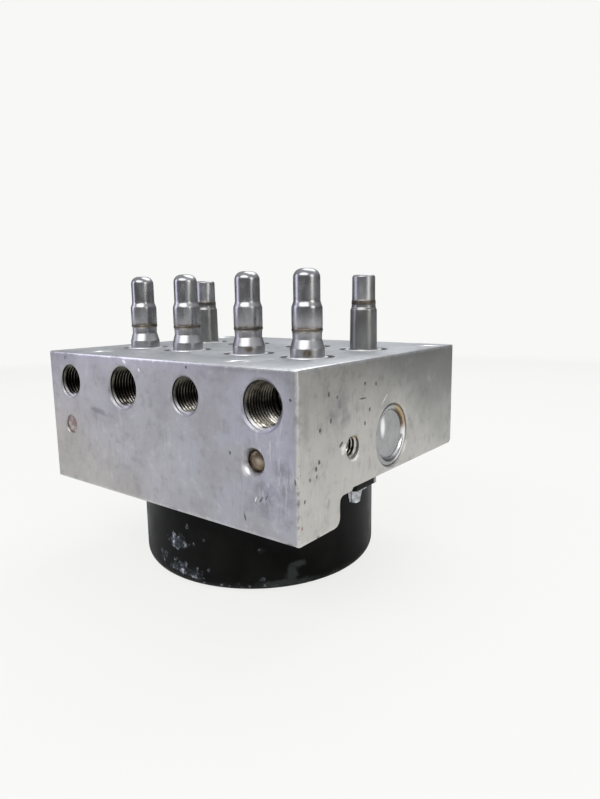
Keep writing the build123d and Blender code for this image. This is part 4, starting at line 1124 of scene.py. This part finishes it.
def ball_steel():
    """Tarnished balls: brown-grey, the left one paler and smeared over with aluminium, the right one with a
    painted highlight and painted shade round its rim.
    """
    finish = Finish("ball_steel", Metallic=1.0)
    cloud = finish.noise(1.6, detail=4, rough=0.6)
    left = finish.step(finish.x, 5, -5)
    # painted highlight on the upper right of the right ball
    painted_ball_highlight = finish.spot((PLUG_XS[1] + 0.8, FRONT, PLUG_Z + 0.5), (1.7, 4, 2.2), 0.7)
    from_axis = finish.distance(finish.x - PLUG_XS[1], finish.z - PLUG_Z)
    colour = finish.coats(
        finish.tones((0.13, 0.095, 0.065), (0.23, 0.18, 0.13), cloud),
        ((0.80, 0.72, 0.60), painted_ball_highlight * 0.3),
        # painted shade round the right ball's rim
        ((0.03, 0.024, 0.018), finish.step(from_axis, 2.15, 2.7) * 0.85),
        (finish.tones((0.27, 0.205, 0.18), (0.46, 0.42, 0.42), cloud, 0.45, 0.65), left),
    )
    finish.bump(cloud, 0.12)
    return finish.feed(Base_Color=colour, Roughness=0.26 + left * 0.2)


# chips in the can's paint: where each lies, its size and how much of it is bare
PAINT_CHIPS = (
    ((0.7, -37.3, 13.0), (7.5, 3, 4.0), 1.0),
    ((-0.5, -37.3, 14.0), (2.5, 3, 3.0), 1.0),
    ((4.9, -37.0, 18.5), (1.7, 2, 2.2), 0.5),
    ((-6.0, -36.9, 6.6), (4.5, 3, 4.0), 0.8),
    ((0.5, -37.3, 5.4), (6.5, 3, 4.5), 0.9),
    ((6.5, -36.6, 4.0), (7.0, 3, 3.6), 0.8),
    ((10.2, -35.9, 15.2), (1.0, 1.5, 1.3), 0.9),
    ((7.1, -36.6, 13.2), (1.1, 1.5, 1.5), 0.9),
    ((24.9, -27.8, 12.6), (2.2, 2.2, 2.6), 0.5),
    ((25.0, -27.7, 4.3), (1.6, 1.6, 1.5), 1.0),
    ((11.6, -35.5, 6.2), (1.0, 1.2, 1.9), 0.9),
)


def black_paint():
    """Satin black paint, scuffed pale along the can's foot and rubbed off the end of the right ear."""
    finish = Finish("black_paint", Specular_IOR_Level=0.062)
    step, tones, spot = finish.step, finish.tones, finish.spot
    cloud = finish.noise(9, detail=3)
    mottle = finish.noise(1.7, detail=5, rough=0.65)
    orange_peel = finish.noise(0.8, detail=2)
    ragged = (finish.noise(2.4, detail=4, rough=0.6, shift=7.0) - 0.5) * 3.0
    chips = finish.most(*(spot(place, size, 0.5, ragged * 0.5) * bare for place, size, bare in PAINT_CHIPS))
    chips = chips * step(mottle + chips * 0.25, 0.54, 0.76)
    foot = step(finish.z + cloud * 4, 5.6, 3.4) * step(mottle, 0.52, 0.70) * 0.5
    primer = tones((0.05, 0.057, 0.068), (0.55, 0.58, 0.62), mottle, 0.52, 0.70)
    smear = finish.most(
        spot((30.6, -21.3, 4.9), (3.4, 3.4, 6.5), 0.5, ragged * 0.7),
        spot((31.4, -20.1, 8.0), (4.4, 4.4, 1.9), 0.5, ragged * 0.7),
        spot((29.5, -22.8, 2.6), (17, 17, 2.4), 0.4, ragged * 0.5),
    )
    bare = spot((50.0, -8.6, 33.0), (2.4, 2.6, 3.0), 0.4, ragged * 0.4)
    colour = finish.coats(
        tones((0.0030, 0.0032, 0.0028), (0.0075, 0.0079, 0.0068), cloud),
        ((0.040, 0.048, 0.045), smear * 0.9),
        (primer, finish.most(chips, foot)),
        ((0.36, 0.37, 0.37), bare),
    )
    finish.bump(orange_peel * 0.4 - chips * 1.2, 0.04)
    rough = step(cloud, bottom=0.34, top=0.46)
    return finish.feed(Base_Color=colour, Roughness=rough + chips * 0.15, Metallic=bare * 0.9)


# plain finishes: dark tone, light tone, roughness, and 0 where it isn't a metal
PLAIN = {
    "zinc_screw": ((0.22, 0.23, 0.24), (0.62, 0.63, 0.64), 0.24),
    "spring_steel": ((0.20, 0.20, 0.21), (0.32, 0.32, 0.33), 0.30),
    "bearing_steel": ((0.45, 0.45, 0.47), (0.58, 0.58, 0.60), 0.18),
    "bronze": ((0.40, 0.26, 0.12), (0.55, 0.38, 0.18), 0.42),
    "magnet": ((0.05, 0.05, 0.055), (0.09, 0.09, 0.1), 0.6, 0.0),
    "lamination": ((0.18, 0.18, 0.19), (0.28, 0.28, 0.29), 0.5),
    "copper": ((0.45, 0.18, 0.08), (0.62, 0.28, 0.14), 0.35),
    "dark_plastic": ((0.02, 0.02, 0.02), (0.035, 0.035, 0.035), 0.55, 0.0),
    "carbon": ((0.03, 0.03, 0.03), (0.06, 0.06, 0.06), 0.7, 0.0),
    "seal_rubber": ((0.015, 0.015, 0.015), (0.03, 0.03, 0.03), 0.7, 0.0),
}
FINISHES = {
    "machined_aluminium": machined_aluminium(),
    "stainless_tube": stainless_tube(),
    "turned_steel": turned_steel(),
    "plug_steel": plug_steel(),
    "ball_steel": ball_steel(),
    "black_paint": black_paint(),
    **{name: plain_metal(name, *look) for name, look in PLAIN.items()},
}

for part in frame["record"]["subparts"]:
    mesh = frame["nodes"][part["node"]].data
    mesh.materials.clear()
    mesh.materials.append(FINISHES[part["material_slot"]])


# ---------------- the pieces in their places
def fit(piece, slot, node=None):
    """Gives a finished piece its material and its body, and hides the imported part that it stands in for,
    if one is named.
    """
    piece.data.materials.clear()
    piece.data.materials.append(FINISHES[slot])
    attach(piece, "block")
    if node:
        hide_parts(node)


def valves():
    """Each kind of valve piece is turned once, then copied to its four places."""
    kinds = {
        "inlet_body": (inlet_body, "turned_steel"),
        "inlet_dome": (inlet_dome, "stainless_tube"),
        "outlet_body": (outlet_body, "turned_steel"),
        "outlet_cap": (outlet_cap, "stainless_tube"),
    }
    for kind, (make, slot) in kinds.items():
        first = make()
        smooth(first)
        for number, place in valve_places(kind):
            piece = put(copy_of(first, f"{kind}_turned_{number}"), place)
            fit(piece, slot, f"{kind}_{number}")
        bpy.data.objects.remove(first)


def caps():
    for side, sign in reversed(SIDES):
        for kind, make, place, towards in (
            ("pump", pump_cap, (sign * SIDE, 0, PUMP_Z), side),
            ("accumulator", accumulator_cap, (sign * ACCUMULATOR_XS[1], BACK, ACCUMULATOR_Z), "back"),
        ):
            cap = make()
            smooth(cap)
            put(cap, place, towards)
            cap.name = f"{kind}_cap_pressed_{side}"
            fit(cap, "plug_steel", f"{kind}_cap_{side}")


def plugs():
    balls = []
    for x, (_, form) in zip(PLUG_XS, PLUG_FORMS):
        ball = ball_plug(*form)
        smooth(ball)
        balls.append(put(ball, (x, FRONT, PLUG_Z), "front"))
    fit(join("ball_plugs_pressed", balls), "ball_steel", "ball_plugs")


def screws():
    pieces = []
    for sign in (1, -1):
        piece = motor_screw()
        smooth(piece)
        pieces.append(put(piece, (sign * EAR.x, sign * EAR.y, SEAT_Z - EAR_THICKNESS)))
    fit(join("motor_screws_turned", pieces), "zinc_screw", "motor_screws")


# for each kind of spring: the coil's radius, the wire's diameter and the number of turns
COILS = {
    "inlet": (1.45, 0.42, 4),
    "outlet": (1.45, 0.42, 3),
    "pump": (2.95, 0.95, 3),
    "accumulator": (4.64, 1.2, 5),
}
SPRING_GAP = 0.06            # between a spring's end and what it presses on


def seat_spring(kind, label, node, fixed, moving, towards):
    """One spring between the block and a plunger, wound to the length between its fixed seat and the
    plunger.
    """
    along = (Vector(moving) - Vector(fixed)).normalized() * SPRING_GAP
    start, end = Vector(fixed) + along, Vector(moving) - along
    spring = coil_spring(f"{kind}_spring_coiled_{label}", (end - start).length, *COILS[kind])
    put(spring, start, towards)
    spring.data.materials.append(FINISHES["spring_steel"])
    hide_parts(node)
    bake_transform(spring)


def springs():
    """Every return spring, from its fixed seat to the plunger that it pushes."""
    for kind, towards in (("inlet", "up"), ("outlet", "down")):
        node = f"{kind}_springs"
        ends = [corner.z for corner in corners(node)]
        if towards == "down":
            ends.reverse()
        for number, (x, y, _) in valve_places(f"{kind}_body"):
            fixed, moving = ((x, y, z) for z in ends)
            seat_spring(kind, number, node, fixed, moving, towards)
    for side, inwards in (("right", "left"), ("left", "right")):
        node = f"pump_spring_{side}"
        ends = [corner.x for corner in corners(node)]
        if side == "right":
            ends.reverse()
        fixed, moving = ((x, 0, middle(node).z) for x in ends)
        seat_spring("pump", side, node, fixed, moving, inwards)
        node = f"accumulator_spring_{side}"
        low, high = corners(node)
        fixed, moving = ((middle(node).x, y, ACCUMULATOR_Z) for y in (high.y, low.y))
        seat_spring("accumulator", side, node, fixed, moving, "front")


fit(valve_block(), "machined_aluminium", "valve_block")
fit(threads(), "machined_aluminium")
valves()
caps()
plugs()
screws()
springs()
fit(motor_can(), "black_paint", "motor_can")


# ---------------- floor, lights and camera
FLOOR_SIZE = 8000
SHADOW_REACH = 250           # round the object, where the floor shows its shadow
BACKDROP = (0.94, 0.94, 0.925)
# how much of the white backdrop a kind of ray sees, in place of the plainly lit floor and room
SEEN_BY_CAMERA = 0.85
SEEN_IN_METAL = 0.05


def backdrop_share(wiring):
    """Share of the white backdrop in what a ray sees: most to the camera, a little in metal."""
    in_metal = wiring.node("LightPath", output="Is Glossy Ray")
    to_camera = wiring.node("LightPath", output="Is Camera Ray")
    return wiring.most(to_camera * SEEN_BY_CAMERA, in_metal * SEEN_IN_METAL)


def floor():
    """A plain pale floor."""
    plane = primitive("floor", bpy.ops.mesh.primitive_plane_add, size=FLOOR_SIZE * MM)
    plane.data.materials.append(floor_paint())
    plane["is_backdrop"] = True


def floor_paint():
    """Pale and matt, so it keeps the shadow, and mostly white to the camera."""
    paint = Finish("floor_paint", Base_Color=(0.86, 0.86, 0.85), Roughness=0.9)
    white = paint.node("Emission", inputs={"Color": BACKDROP, "Strength": 1.0})
    far = paint.step(paint.length(paint.place), SHADOW_REACH, 3 * SHADOW_REACH)
    far = far * paint.node("LightPath", output="Is Camera Ray")
    share = paint.most(backdrop_share(paint), far)
    matt = Wire(paint, paint.shader.outputs[0])
    mixed = paint.node("MixShader", inputs={0: share, 1: matt, 2: white})
    paint.plug(paint.nodes["Material Output"].inputs["Surface"], mixed)
    return paint.material


def studio_world():
    """A plain room: dim at eye level, lighter overhead, white where the camera sees it."""
    world = bpy.data.worlds.new("studio")
    bpy.context.scene.world = world
    world.use_nodes = True
    wiring = Wiring(world.node_tree)
    direction = wiring.node("TexCoord", output="Generated")
    height = wiring.node("SeparateXYZ", inputs={0: direction}, output="Z")
    room = wiring.tones((0.085, 0.085, 0.09), (0.60, 0.61, 0.64), height, 0.0, 0.8)
    share = wiring.most(backdrop_share(wiring), wiring.node("LightPath", output="Is Camera Ray"))
    wiring.plug(wiring.nodes["Background"].inputs["Color"], wiring.mix(room, BACKDROP, share))


def lamp(name, place, width, height, power, colour):
    """An elliptical lamp aimed at the middle of the block."""
    light = bpy.data.lights.new(name, "AREA")
    light.shape = "ELLIPSE"
    light.size = width
    light.size_y = height
    light.energy = power
    light.color = colour
    holder = bpy.data.objects.new(name, light)
    bpy.context.scene.collection.objects.link(holder)
    holder.location = place
    holder.rotation_euler = (LAMP_AIM - Vector(place)).to_track_quat("-Z", "Y").to_euler()


def camera():
    """Camera at the object's front right corner, slightly above."""
    yaw, pitch, roll = (math.radians(angle) for angle in (37.76, 9.64, -0.73))
    image_width, focal_length = 600, 588.5
    data = bpy.data.cameras.new("camera")
    data.sensor_fit = "HORIZONTAL"
    data.sensor_width = 36.0
    data.lens = data.sensor_width * focal_length / image_width
    data.clip_start = 0.001
    holder = bpy.data.objects.new("camera", data)
    bpy.context.scene.collection.objects.link(holder)
    turn = Matrix.Rotation(yaw, 4, "Z") @ Matrix.Rotation(math.pi / 2 - pitch, 4, "X")
    turn = turn @ Matrix.Rotation(roll, 4, "Z")
    holder.matrix_world = Matrix.Translation((0.1278, -0.1425, 0.0814)) @ turn
    bpy.context.scene.camera = holder


floor()
studio_world()
# lamps and camera are placed in metres
LAMP_AIM = Vector((0, 0, 0.05))
lamp("left", (-0.56, -0.38, 0.24), 0.32, 0.40, 0.72, (0.81, 0.78, 1.0))
lamp("right", (0.68, -0.08, 0.30), 0.34, 0.34, 0.78, (1.0, 0.98, 0.92))
lamp("key", (0.10, -0.50, 0.54), 0.90, 0.34, 2.25, (1.0, 1.0, 1.0))
lamp("overhead", (-0.04, 0.30, 0.66), 0.60, 0.60, 2.4, (0.97, 0.99, 1.0))
camera()
bpy.context.scene.view_settings.view_transform = "Standard"

boxes = {"cad": cad_box, "visual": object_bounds()}
{name: [list(corner) for corner in box] for name, box in boxes.items()}
